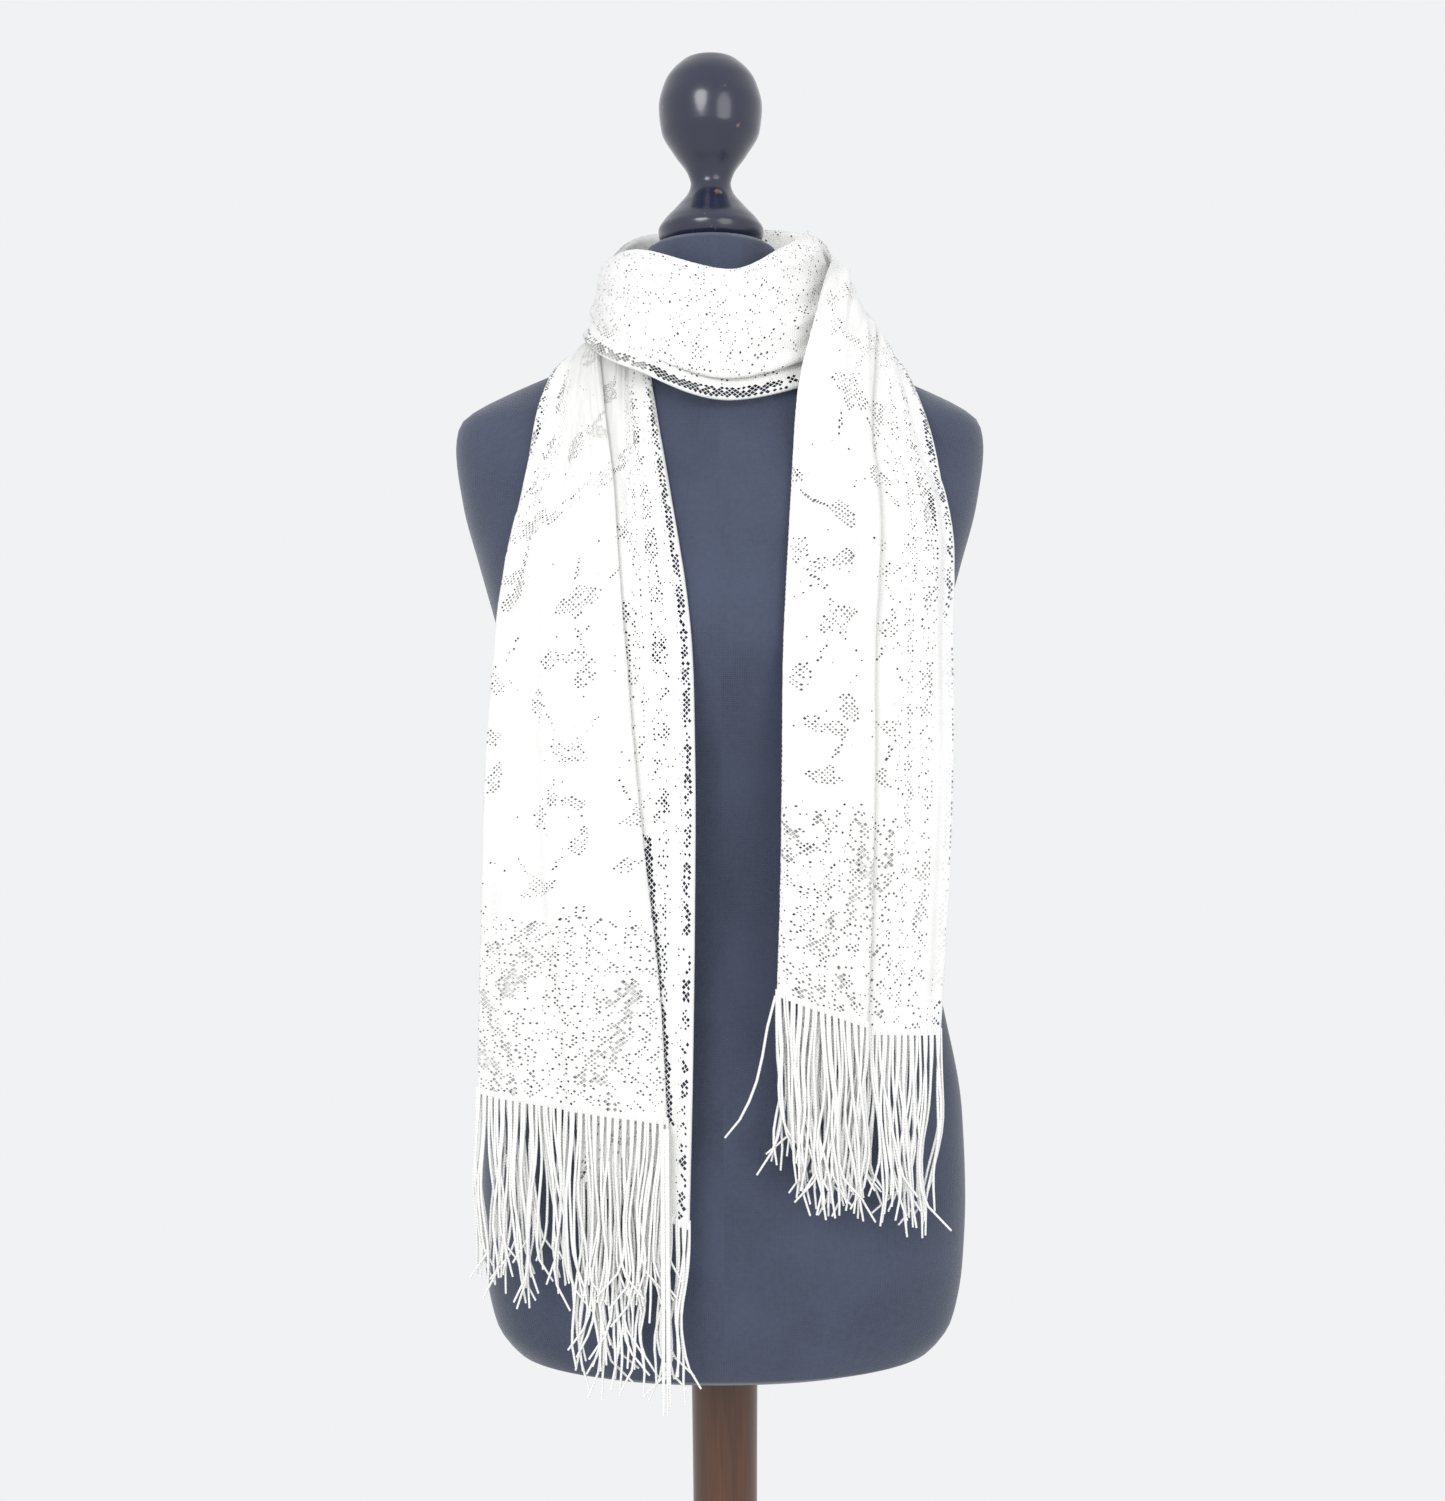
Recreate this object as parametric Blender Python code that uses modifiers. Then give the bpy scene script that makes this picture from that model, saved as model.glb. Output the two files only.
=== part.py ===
"""Lace shawl wound once round the neck of a limbless dress form, with both fringed ends hanging in front.

Metres, +Z up, the wearer's front towards -Y. The origin is on the floor under the middle of the round foot.
The shawl is one knitted panel. It is made here as five stretches of one continuous folded wall, and each end
carries a narrow hem strip with its fringe.
"""

import math

import bmesh
import bpy
import numpy as np
from mathutils import Vector
from mathutils.bvhtree import BVHTree

# The shawl's cut and wall.
WALL = 0.0010
SEAM_GAP = 0.0005
LEVEL_STEP = 0.0028
FOLD_INSET = 0.0025
STRIP_HEIGHT = 0.006
STRAND_PITCH = 0.0054
LEAST_ROOT = 0.0036
STRAND_WIDTH = 0.0021
STRAND_DEPTH = 0.0011
STRAND_STEPS = 4

# The dress form and its stand.
TORSO_SEGMENTS = 32
TURNED_SEGMENTS = 24
FOOT_SEGMENTS = 48
NECK_TOP = 1.477
TORSO_UNDERSIDE = 0.720
NECK_LEAN = -0.0052
LEAN_FROM = 1.385
POST_RADIUS = 0.0218
POST_TOP_RADIUS = 0.0228
FOOT_TOP = 0.034
SEAT_GAP = 0.0003

# Horizontal sections of the torso: height, half width, depth in front, depth behind, squareness.
TORSO_SECTIONS = (
    ("underside", TORSO_UNDERSIDE, 0.120, 0.077, 0.087, 2.2),
    ("lower roll", 0.7265, 0.1415, 0.091, 0.102, 2.2),
    ("seat", 0.748, 0.1565, 0.100, 0.112, 2.2),
    ("low hip", 0.785, 0.1630, 0.104, 0.116, 2.25),
    ("hip", 0.830, 0.1650, 0.105, 0.117, 2.3),
    ("high hip", 0.885, 0.1632, 0.102, 0.111, 2.3),
    ("belly", 0.953, 0.1515, 0.096, 0.098, 2.25),
    ("waist", 1.040, 0.130, 0.086, 0.080, 2.2),
    ("ribs", 1.110, 0.131, 0.094, 0.080, 2.2),
    ("under bust", 1.160, 0.140, 0.110, 0.085, 2.2),
    ("bust", 1.210, 0.151, 0.1235, 0.090, 2.3),
    ("upper bust", 1.256, 0.1635, 0.116, 0.095, 2.4),
    ("armhole", 1.300, 0.1752, 0.100, 0.095, 2.5),
    ("armhole top", 1.338, 0.180, 0.083, 0.087, 2.6),
    ("shoulder tip", 1.352, 0.178, 0.076, 0.079, 2.6),
    ("shoulder", 1.362, 0.169, 0.071, 0.074, 2.4),
    ("mid shoulder", 1.372, 0.151, 0.067, 0.070, 2.2),
    ("inner shoulder", 1.384, 0.124, 0.062, 0.066, 2.1),
    ("neck root", 1.396, 0.094, 0.058, 0.062, 2.0),
    ("neck foot", 1.408, 0.070, 0.055, 0.059, 2.0),
    ("low neck", 1.422, 0.055, 0.0525, 0.056, 2.0),
    ("neck", 1.440, 0.0485, 0.0510, 0.053, 2.0),
    ("high neck", 1.462, 0.0465, 0.0500, 0.051, 2.0),
    ("neck edge", 1.473, 0.0445, 0.0480, 0.049, 2.0),
    ("neck top", NECK_TOP, 0.0395, 0.0430, 0.044, 2.0),
)

# What the hanging cloth drapes over: the torso down to the armholes, then plumb from the bust.
DRAPE_SECTIONS = (
    ("plumb hem", 0.700, 0.215, 0.1215, 0.118, 2.3),
    ("plumb waist", 1.060, 0.215, 0.1250, 0.118, 2.3),
    ("over bust", 1.210, 0.200, 0.1245, 0.118, 2.3),
    ("over chest", 1.256, 0.186, 0.1180, 0.110, 2.4),
    ("armhole", 1.300, 0.177, 0.1010, 0.096, 2.5),
) + TORSO_SECTIONS[13:]

# The path of the shawl from its left hem, up the chest, one and a half times round the neck, down to the right
# hem. Each row: station, its outer or lower edge (x, y, z), then its inner or upper edge. Y of None lies on the
# drape.
STATIONS = (
    ("left hem", (-0.1572, None, 0.914), (-0.0200, None, 0.838)),
    ("left thigh", (-0.1552, None, 0.985), (-0.0175, None, 0.930)),
    ("left waist", (-0.1530, None, 1.060), (-0.0155, None, 1.040)),
    ("left ribs", (-0.1498, None, 1.135), (-0.0150, None, 1.130)),
    ("left bust", (-0.1432, None, 1.213), (-0.0175, None, 1.210)),
    ("left chest", (-0.1277, None, 1.300), (-0.0300, None, 1.295)),
    ("left collar", (-0.1175, -0.0660, 1.362), (-0.0415, None, 1.362)),
    ("left shoulder", (-0.1040, -0.0260, 1.392), (-0.0500, -0.0400, 1.424)),
    ("left side", (-0.0820, 0.0080, 1.4035), (-0.0530, 0.0040, 1.4500)),
    ("left back", (-0.0600, 0.0580, 1.398), (-0.0400, 0.0420, 1.4680)),
    ("back", (0.0000, 0.0740, 1.384), (0.0000, 0.0560, 1.4820)),
    ("right back", (0.0620, 0.0580, 1.396), (0.0430, 0.0420, 1.4880)),
    ("right side", (0.0820, 0.0000, 1.404), (0.0580, -0.0020, 1.4880)),
    ("right front", (0.0600, -0.0670, 1.370), (0.0400, -0.0440, 1.4655)),
    ("front", (0.0060, -0.0800, 1.3570), (0.0100, -0.0600, 1.4480)),
    ("left front", (-0.0540, -0.0810, 1.3740), (-0.0490, -0.0460, 1.4640)),
    ("left side over", (-0.0790, -0.0020, 1.4120), (-0.0690, 0.0000, 1.4720)),
    ("left back over", (-0.0660, 0.0680, 1.4020), (-0.0510, 0.0550, 1.5000)),
    ("back over", (0.0000, 0.0860, 1.3860), (0.0000, 0.0700, 1.5085)),
    ("right back over", (0.0740, 0.0700, 1.4030), (0.0590, 0.0560, 1.5000)),
    ("right side over", (0.1060, 0.0000, 1.4050), (0.0610, -0.0020, 1.4520)),
    ("right shoulder", (0.1230, -0.0380, 1.3840), (0.0600, -0.0500, 1.4360)),
    ("right neckline", (0.1310, -0.0580, 1.3620), (0.0570, -0.0740, 1.4060)),
    ("right collar", (0.1379, -0.0750, 1.3370), (0.0500, -0.0850, 1.3680)),
    ("right chest", (0.1463, None, 1.2980), (0.0443, None, 1.3050)),
    ("right bust", (0.1488, None, 1.2050), (0.0378, None, 1.2050)),
    ("right ribs", (0.1487, None, 1.1300), (0.0364, None, 1.1300)),
    ("right waist", (0.1453, None, 1.0500), (0.0353, None, 1.0600)),
    ("right hem", (0.1384, None, 0.9510), (0.0326, None, 0.9790)),
)

# Where the folds lie, as shares of the way from the outer edge to the inner one: the end of the flap turned
# under at the outer edge, the end of the first panel, the start of the second, and the end of the run turned
# under at the inner edge.
FOLDS = (
    ("left hem", 0.45, 0.91, 0.50, 0.93),
    ("left thigh", 0.45, 0.86, 0.44, 0.93),
    ("left waist", 0.43, 0.78, 0.36, 0.92),
    ("left bust", 0.40, 0.68, 0.32, 0.90),
    ("left chest", 0.20, 0.64, 0.38, 0.86),
    ("left collar", 0.07, 0.56, 0.48, 0.84),
    ("left side", 0.06, 0.46, 0.54, 0.70),
    ("left back", 0.06, 0.62, 0.34, 0.45),
    ("back", 0.05, 0.84, 0.18, 0.36),
    ("right side", 0.05, 0.84, 0.18, 0.36),
    ("front", 0.05, 0.86, 0.15, 0.36),
    ("left side over", 0.05, 0.84, 0.18, 0.36),
    ("back over", 0.05, 0.84, 0.18, 0.36),
    ("right side over", 0.06, 0.80, 0.28, 0.34),
    ("right neckline", 0.06, 0.74, 0.44, 0.30),
    ("right chest", 0.06, 0.78, 0.47, 0.30),
    ("right bust", 0.06, 0.84, 0.49, 0.30),
    ("right hem", 0.06, 0.90, 0.465, 0.30),
)

# How many layers lie under each run: flap, first panel, the return between the panels, second panel, last run.
LEVELS = (
    ("left hem", 2.0, 3.0, 2.0, 1.0, 0.0),
    ("left chest", 2.0, 3.0, 2.0, 1.0, 0.0),
    ("left collar", 1.6, 2.8, 2.0, 1.3, 0.2),
    ("left side", 0.6, 2.0, 2.0, 2.0, 0.2),
    ("left back", 0.0, 1.2, 2.0, 2.8, 0.0),
    ("back", 0.0, 1.0, 2.0, 3.0, 0.0),
    ("right hem", 0.0, 1.0, 2.0, 3.0, 0.0),
)

# How far the hem stands above the straight line between its two edges: at the flap's end, the outer edge, the
# first panel's end, the second panel's start, the inner edge and the last run's end.
HEM_SHIFTS = {
    "left": (0.050, 0.000, 0.0545, -0.018, -0.006, -0.002),
    "right": (0.000, 0.000, -0.021, -0.0065, 0.000, 0.000),
}
SHIFT_KNOTS = (0, 3, 9, 13, 19, 22)

# The fringe below each hem: its name, its station, and its length at these places across.
FRINGES = (
    ("fringe_left", "left hem", ((-0.150, 0.121), (-0.090, 0.125), (-0.017, 0.104))),
    ("fringe_right", "right hem", ((0.036, 0.108), (0.095, 0.113), (0.138, 0.126))),
)
LONG_STRAND = (-0.0333, 0.7140)

# Each stretch: name, first and last station, and rows of the wall along it.
STRETCHES = (
    ("tail_left", "left hem", "left side", 20),
    ("back_inner", "left side", "right side", 12),
    ("front_band", "right side", "left side over", 16),
    ("back_outer", "left side over", "right side over", 12),
    ("tail_right", "right side over", "right hem", 20),
)
STAND_OFF = 0.0016

# Where the shawl passes over itself, its inmost layer is lifted off the layers below it. These are the two passes:
# the stations it runs between and the station up to which the earlier cloth lies below it.
PASSES = (
    ("right side", "right side over", "right side"),
    ("right side over", "right hem", "left side over"),
)
LIFT_ROWS = 260
LIFT_CLEAR = 0.0032
LIFT_REACH = 0.05
LEAST_LAP = 0.20

FINIAL_PROFILE = (
    ("top", 0.0000, 0.1290),
    ("top edge", 0.0145, 0.1290),
    ("crown", 0.0235, 0.1235),
    ("upper ball", 0.0315, 0.1125),
    ("ball", 0.0355, 0.0960),
    ("lower ball", 0.0338, 0.0800),
    ("waisting", 0.0250, 0.0640),
    ("narrow", 0.0158, 0.0505),
    ("neck", 0.0138, 0.0435),
    ("bead", 0.0150, 0.0385),
    ("flare", 0.0235, 0.0275),
    ("skirt", 0.0330, 0.0170),
    ("rim", 0.0362, 0.0110),
    ("rim foot", 0.0350, 0.0050),
    ("seat", 0.0300, 0.0000),
    ("centre", 0.0000, 0.0000),
)

FOOT_PROFILE = (
    ("hub", 0.0000, FOOT_TOP),
    ("hub edge", 0.0380, FOOT_TOP),
    ("hub foot", 0.0430, 0.0290),
    ("dish", 0.1740, 0.0270),
    ("shoulder", 0.1860, 0.0230),
    ("edge", 0.1900, 0.0150),
    ("lower edge", 0.1885, 0.0040),
    ("under edge", 0.1850, 0.0000),
    ("centre", 0.0000, 0.0000),
)

BLACK_JERSEY = ("black_jersey", (0.020, 0.021, 0.026), 0.9)
BLACK_LACQUER = ("black_lacquer", (0.012, 0.012, 0.014), 0.3)
BROWN_WOOD = ("brown_wood", (0.070, 0.032, 0.018), 0.4)
WHITE_LACE = ("white_lace", (0.86, 0.86, 0.85), 0.85)


def clear_scene():
    for obj in list(bpy.data.objects):
        bpy.data.objects.remove(obj)


def material(spec):
    """A plain Principled material of this colour and roughness, made once."""
    name, colour, roughness = spec
    found = bpy.data.materials.get(name)
    if found:
        return found
    made = bpy.data.materials.new(name)
    made.use_nodes = True
    shader = made.node_tree.nodes["Principled BSDF"]
    shader.inputs["Base Color"].default_value = (*colour, 1.0)
    shader.inputs["Roughness"].default_value = roughness
    shader.inputs["Metallic"].default_value = 0.0
    return made


def add_object(name, mesh, collection, spec):
    obj = bpy.data.objects.new(name, mesh)
    collection.objects.link(obj)
    obj.data.materials.append(material(spec))
    return obj


def steady_curve(knots, values, at):
    """Values at these places on a smooth curve through the knots that never overshoots them."""
    knots, values, at = (np.asarray(a, float) for a in (knots, values, at))
    step = np.diff(knots)
    slope = np.diff(values) / step
    tangent = np.zeros(len(knots))
    same_way = slope[:-1] * slope[1:] > 0
    harmonic = 2 * slope[:-1] * slope[1:] / np.where(same_way, slope[:-1] + slope[1:], 1)
    tangent[1:-1] = np.where(same_way, harmonic, 0)
    tangent[0], tangent[-1] = slope[0], slope[-1]
    return hermite(knots, values, tangent, at)


def round_curve(knots, values, at):
    """Values at these places on a rounded curve through the knots, for paths that turn."""
    knots, values, at = (np.asarray(a, float) for a in (knots, values, at))
    step = np.diff(knots)
    slope = np.diff(values) / step
    tangent = np.empty(len(knots))
    tangent[1:-1] = (slope[:-1] * step[1:] + slope[1:] * step[:-1]) / (step[:-1] + step[1:])
    tangent[0], tangent[-1] = slope[0], slope[-1]
    return hermite(knots, values, tangent, at)


def hermite(knots, values, tangent, at):
    i = np.clip(np.searchsorted(knots, at, side="right") - 1, 0, len(knots) - 2)
    width = knots[i + 1] - knots[i]
    t = np.clip((at - knots[i]) / width, 0, 1)
    return (
        values[i] * (2 * t**3 - 3 * t**2 + 1)
        + tangent[i] * width * (t**3 - 2 * t**2 + t)
        + values[i + 1] * (3 * t**2 - 2 * t**3)
        + tangent[i + 1] * width * (t**3 - t**2)
    )


def section_at(sections, z):
    """Half width, front, back and squareness of these sections at heights z."""
    heights = [row[1] for row in sections]
    return [steady_curve(heights, [row[k] for row in sections], z) for k in (2, 3, 4, 5)]


def surface_radius(sections, angle, z):
    """Distance from the upright axis to the surface. Angle 0 faces the front, +90 degrees is +X."""
    half, front, back, square = section_at(sections, z)
    depth = np.where(np.cos(angle) > 0, front, back)
    across = np.abs(np.sin(angle)) / half
    along = np.abs(np.cos(angle)) / depth
    return (across**square + along**square) ** (-1 / square)


def neck_lean(z):
    """How far the axis of the neck has moved to the side at this height."""
    way = np.clip((z - LEAN_FROM) / (NECK_TOP - LEAN_FROM), 0, 1)
    return NECK_LEAN * way * (2 - way)


def stand_off(sections, point):
    """How far outside the surface each point is, along the axis's radius."""
    x, y, z = np.moveaxis(point, -1, 0)
    x = x - neck_lean(z)
    return np.hypot(x, y) - surface_radius(sections, np.arctan2(x, -y), z)


def front_of_drape(x, z):
    """Y of the drape's front at x and z."""
    half, front, _, square = section_at(DRAPE_SECTIONS, z)
    return -front * (1 - (np.abs(x) / half) ** square) ** (1 / square)


def pushed_clear(point, least):
    """The points moved out of the drape, along its own normals, until each is at least this far from it."""
    eps = 0.0005
    for _ in range(4):
        value = stand_off(DRAPE_SECTIONS, point)
        slope = np.stack(
            [
                stand_off(DRAPE_SECTIONS, point + eps * axis) - stand_off(DRAPE_SECTIONS, point - eps * axis)
                for axis in np.eye(3)
            ],
            axis=-1,
        ) / (2 * eps)
        steep = np.linalg.norm(slope, axis=-1)
        short = np.clip(least - value / steep, 0, None)
        point = point + slope / steep[..., None] * short[..., None]
    return point


def station_edges():
    """The outer and inner edge points of every station, with the drape's own depth where none is given."""
    edges = np.empty((2, len(STATIONS), 3))
    for i, (_, outer, inner) in enumerate(STATIONS):
        for side, (x, y, z) in enumerate((outer, inner)):
            depth = float(front_of_drape(x, z)) if y is None else y
            edges[side, i] = (x, depth, z)
    return edges


EDGES = station_edges()
MIDDLE = EDGES.mean(axis=0)
ALONG = np.concatenate([[0], np.cumsum(np.linalg.norm(np.diff(MIDDLE, axis=0), axis=1))])
PLACE = {row[0]: ALONG[i] for i, row in enumerate(STATIONS)}


def table_curve(table, column, along):
    return steady_curve([PLACE[row[0]] for row in table], [row[column] for row in table], along)


def edge_curve(side, along):
    return np.stack([round_curve(ALONG, EDGES[side, :, k], along) for k in range(3)], axis=-1)


def fold_knots(along):
    """Shares across and levels of the 23 knots of the folded section, for each place along the shawl."""
    flap, first_end, second_start, last = (table_curve(FOLDS, k, along) for k in (1, 2, 3, 4))
    flap_n, first_n, return_n, second_n, last_n = (table_curve(LEVELS, k, along) for k in (1, 2, 3, 4, 5))
    width = np.linalg.norm(edge_curve(1, along) - edge_curve(0, along), axis=-1)
    inset = FOLD_INSET / width
    turn = inset * np.clip((second_start - first_end) / (4 * inset), -1, 1)
    zero, one = np.zeros_like(along), np.ones_like(along)
    first_from, first_to = inset, first_end - inset
    second_from, second_to = second_start + inset, one - inset

    def between(a, b, share):
        return a + (b - a) * share

    knots = [
        (flap, flap_n),
        (between(flap, inset, 0.5), flap_n),
        (inset, flap_n),
        (zero, (flap_n + first_n) / 2),
        (first_from, first_n),
        (between(first_from, first_to, 0.25), first_n),
        (between(first_from, first_to, 0.50), first_n),
        (between(first_from, first_to, 0.75), first_n),
        (first_to, first_n),
        (first_end, (first_n + return_n) / 2),
        (first_end + turn, return_n),
        (between(first_end, second_start, 0.5), return_n),
        (second_start - turn, return_n),
        (second_start, (return_n + second_n) / 2),
        (second_from, second_n),
        (between(second_from, second_to, 0.25), second_n),
        (between(second_from, second_to, 0.50), second_n),
        (between(second_from, second_to, 0.75), second_n),
        (second_to, second_n),
        (one, (second_n + last_n) / 2),
        (second_to, last_n),
        (between(second_to, last, 0.5), last_n),
        (last, last_n),
    ]
    share = np.stack([k[0] for k in knots], axis=-1)
    level = np.stack([k[1] for k in knots], axis=-1)
    return share, level


def hem_shift(along, share, level):
    """How far each knot is drawn up towards the two hems, in metres of height."""
    width = np.linalg.norm(edge_curve(1, along) - edge_curve(0, along), axis=-1)[:, None]
    pieces = np.hypot(np.diff(share, axis=1) * width, np.diff(level, axis=1) * LEVEL_STEP)
    run = np.concatenate([np.zeros((len(along), 1)), np.cumsum(pieces, axis=1)], axis=1)
    shift = np.zeros_like(share)
    for side, bust, hem in (("left", "left bust", "left hem"), ("right", "right bust", "right hem")):
        way = np.clip((along - PLACE[bust]) / (PLACE[hem] - PLACE[bust]), 0, 1)
        ramp = way * way * (3 - 2 * way)
        for i in np.nonzero(ramp)[0]:
            shift[i] += ramp[i] * np.interp(run[i], run[i][list(SHIFT_KNOTS)], HEM_SHIFTS[side])
    return shift


def cloth_base(along):
    """Points under every knot of the section on the form, the way out of it, and each knot's level."""
    outer, inner = edge_curve(0, along), edge_curve(1, along)
    share, level = fold_knots(along)
    base = outer[:, None, :] + (inner - outer)[:, None, :] * share[:, :, None]
    base[..., 2] += hem_shift(along, share, level)
    base = pushed_clear(base, STAND_OFF)
    step = 0.004
    ahead = (edge_curve(0, along + step) + edge_curve(1, along + step)) / 2
    behind = (edge_curve(0, along - step) + edge_curve(1, along - step)) / 2
    outward = np.cross(inner - outer, ahead - behind)
    outward /= np.linalg.norm(outward, axis=-1, keepdims=True)
    return base, outward, level


def tree_of(points):
    """A search tree over the sheet through this grid of points."""
    rows, columns = points.shape[:2]
    faces = [
        (i * columns + j, i * columns + j + 1, (i + 1) * columns + j + 1, (i + 1) * columns + j)
        for i in range(rows - 1)
        for j in range(columns - 1)
    ]
    return BVHTree.FromPolygons(points.reshape(-1, 3).tolist(), faces)


def softened(field):
    """The field widened to its neighbours' largest values and then smoothed."""
    padded = np.pad(field, 2, mode="edge")
    shape = field.shape
    wide = np.max([padded[i : i + shape[0], j : j + shape[1]] for i in range(5) for j in range(5)], axis=0)
    for _ in range(5):
        padded = np.pad(wide, ((1, 1), (0, 0)), mode="edge")
        wide = (padded[:-2] + 2 * padded[1:-1] + padded[2:]) / 4
        padded = np.pad(wide, ((0, 0), (1, 1)), mode="edge")
        wide = (padded[:, :-2] + 2 * padded[:, 1:-1] + padded[:, 2:]) / 4
    return wide


def lift_field():
    """How far every knot is lifted so that the shawl clears what it is wound over."""
    rows = np.linspace(0, ALONG[-1], LIFT_ROWS)
    base, outward, level = cloth_base(rows)
    lift = np.zeros(base.shape[:2])
    for first, last, top in PASSES:
        laid = base + outward[:, None, :] * (level * LEVEL_STEP + lift)[:, :, None]
        below = np.nonzero(rows <= PLACE[top])[0]
        tree = tree_of(laid[below])
        for i in np.nonzero((rows >= PLACE[first]) & (rows < PLACE[last]))[0]:
            out = Vector(outward[i])
            for j in range(base.shape[1]):
                start = Vector(base[i, j]) + out * LIFT_REACH
                hit, _, face, away = tree.ray_cast(start, -out, LIFT_REACH + LIFT_CLEAR)
                if hit and rows[i] - rows[face // (base.shape[1] - 1)] > LEAST_LAP:
                    lift[i, j] = LIFT_REACH - away + LIFT_CLEAR
        lift = softened(lift)
    return rows, lift


LIFT_AT, LIFT = lift_field()


def cloth_points(along):
    """Points of the shawl's middle surface: one row for each place along it, 23 points across."""
    along = np.asarray(along, float)
    base, outward, level = cloth_base(along)
    lift = np.stack([np.interp(along, LIFT_AT, column) for column in LIFT.T], axis=-1)
    return base + outward[:, None, :] * (level * LEVEL_STEP + lift)[:, :, None]


def sheet_mesh(name, points):
    """An open sheet on a grid of points."""
    rows, columns = points.shape[:2]
    bm = bmesh.new()
    bmesh.ops.create_grid(bm, x_segments=columns - 1, y_segments=rows - 1, size=0.5)
    bm.verts.ensure_lookup_table()
    for vert, place in zip(bm.verts, points.reshape(-1, 3)):
        vert.co = place
    mesh = bpy.data.meshes.new(name)
    bm.to_mesh(mesh)
    bm.free()
    return mesh


def cloth_wall(name, points, collection):
    """A stretch of the shawl: the sheet through these points, given its thickness."""
    obj = add_object(name, sheet_mesh(name, points), collection, WHITE_LACE)
    solidify = obj.modifiers.new("cloth wall", "SOLIDIFY")
    solidify.thickness = WALL
    solidify.offset = 0
    obj.data.shade_smooth()
    return obj


def build_stretches(collection):
    for name, first, last, rows in STRETCHES:
        start, end = PLACE[first], PLACE[last]
        along = np.linspace(start + SEAM_GAP / 2, end - SEAM_GAP / 2, rows)
        cloth_wall(name, cloth_points(along), collection)


def divided(row, pitch):
    """The row's points with more between them, so that none are further apart than about the pitch."""
    points = [row[0]]
    for low, high in zip(row, row[1:]):
        count = max(1, round(float(np.linalg.norm(high - low)) / pitch))
        points += [low + (high - low) * k / count for k in range(1, count + 1)]
    return np.array(points)


def swayed(place, way, side):
    """A point of a strand this share of the way down it, moved by the slow sway that the fringe hangs in."""
    x, y, z = place
    across = 0.0022 * math.sin(x * 140 + side) + 0.0012 * math.sin(x * 61 + 2 * side)
    return np.array([x + across * way * way, y - 0.0008 * way, z])


def fringe(name, hem_row, lengths, side, collection):
    """A hem strip under one end of the shawl, with its strands drawn out of its lower faces."""
    top = divided(hem_row, STRAND_PITCH)
    top[:, 2] -= WALL / 2 + SEAM_GAP
    ahead = np.gradient(top, axis=0)
    normal = np.stack([ahead[:, 1], -ahead[:, 0], np.zeros(len(top))], axis=-1)
    normal /= np.linalg.norm(normal, axis=-1, keepdims=True)
    low = top - np.array([0, 0, STRIP_HEIGHT])
    half = STRAND_DEPTH / 2
    bm = bmesh.new()
    corners = [
        [bm.verts.new(place) for place in line]
        for line in (top + normal * half, top - normal * half, low + normal * half, low - normal * half)
    ]
    top_front, top_back, low_front, low_back = corners
    roots = []
    for i in range(len(top) - 1):
        j = i + 1
        bm.faces.new((top_front[i], low_front[i], low_front[j], top_front[j]))
        bm.faces.new((top_back[i], top_back[j], low_back[j], low_back[i]))
        bm.faces.new((top_front[i], top_front[j], top_back[j], top_back[i]))
        face = bm.faces.new((low_front[i], low_back[i], low_back[j], low_front[j]))
        if np.linalg.norm(low[j] - low[i]) > LEAST_ROOT:
            roots.append((face, low[i], low[j]))
    for i in (0, len(top) - 1):
        bm.faces.new((top_front[i], top_back[i], low_back[i], low_front[i]))
    for index, root in enumerate(roots):
        grow_strand(bm, root, index, lengths, side)
    bmesh.ops.recalc_face_normals(bm, faces=bm.faces)
    mesh = bpy.data.meshes.new(name)
    bm.to_mesh(mesh)
    bm.free()
    add_object(name, mesh, collection, WHITE_LACE)


def grow_strand(bm, root, index, lengths, side):
    """Extrudes a root face down in steps, narrowing it to the strand and swaying it."""
    face, low, high = root
    along = high - low
    along[2] = 0
    along /= np.linalg.norm(along)
    out = np.array([along[1], -along[0], 0])
    middle = (low + high) / 2
    length = np.interp(middle[0], [row[0] for row in lengths], [row[1] for row in lengths])
    length *= 1 + 0.05 * math.sin(index * 0.83 + side) + 0.035 * math.sin(index * 2.9)
    if abs(middle[0] - LONG_STRAND[0]) < STRAND_PITCH / 2 and middle[2] < 0.86:
        length = middle[2] - LONG_STRAND[1]
    for step in range(1, STRAND_STEPS + 1):
        made = bmesh.ops.extrude_discrete_faces(bm, faces=[face])
        face = made["faces"][0]
        way = step / STRAND_STEPS
        narrow = 0.65 if step == STRAND_STEPS else 1
        centre = swayed(middle, way, side) - np.array([0, 0, length * way])
        wide = along * STRAND_WIDTH / 2 * narrow
        deep = out * STRAND_DEPTH / 2 * narrow
        places = (centre - wide + deep, centre - wide - deep, centre + wide - deep, centre + wide + deep)
        for vert, place in zip(face.verts, places):
            vert.co = place


def build_fringes(collection):
    for side, (name, hem, lengths) in enumerate(FRINGES):
        inward = SEAM_GAP / 2 if hem == "left hem" else -SEAM_GAP / 2
        row = cloth_points([PLACE[hem] + inward])[0]
        fringe(name, row, lengths, 1.3 * side, collection)


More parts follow.
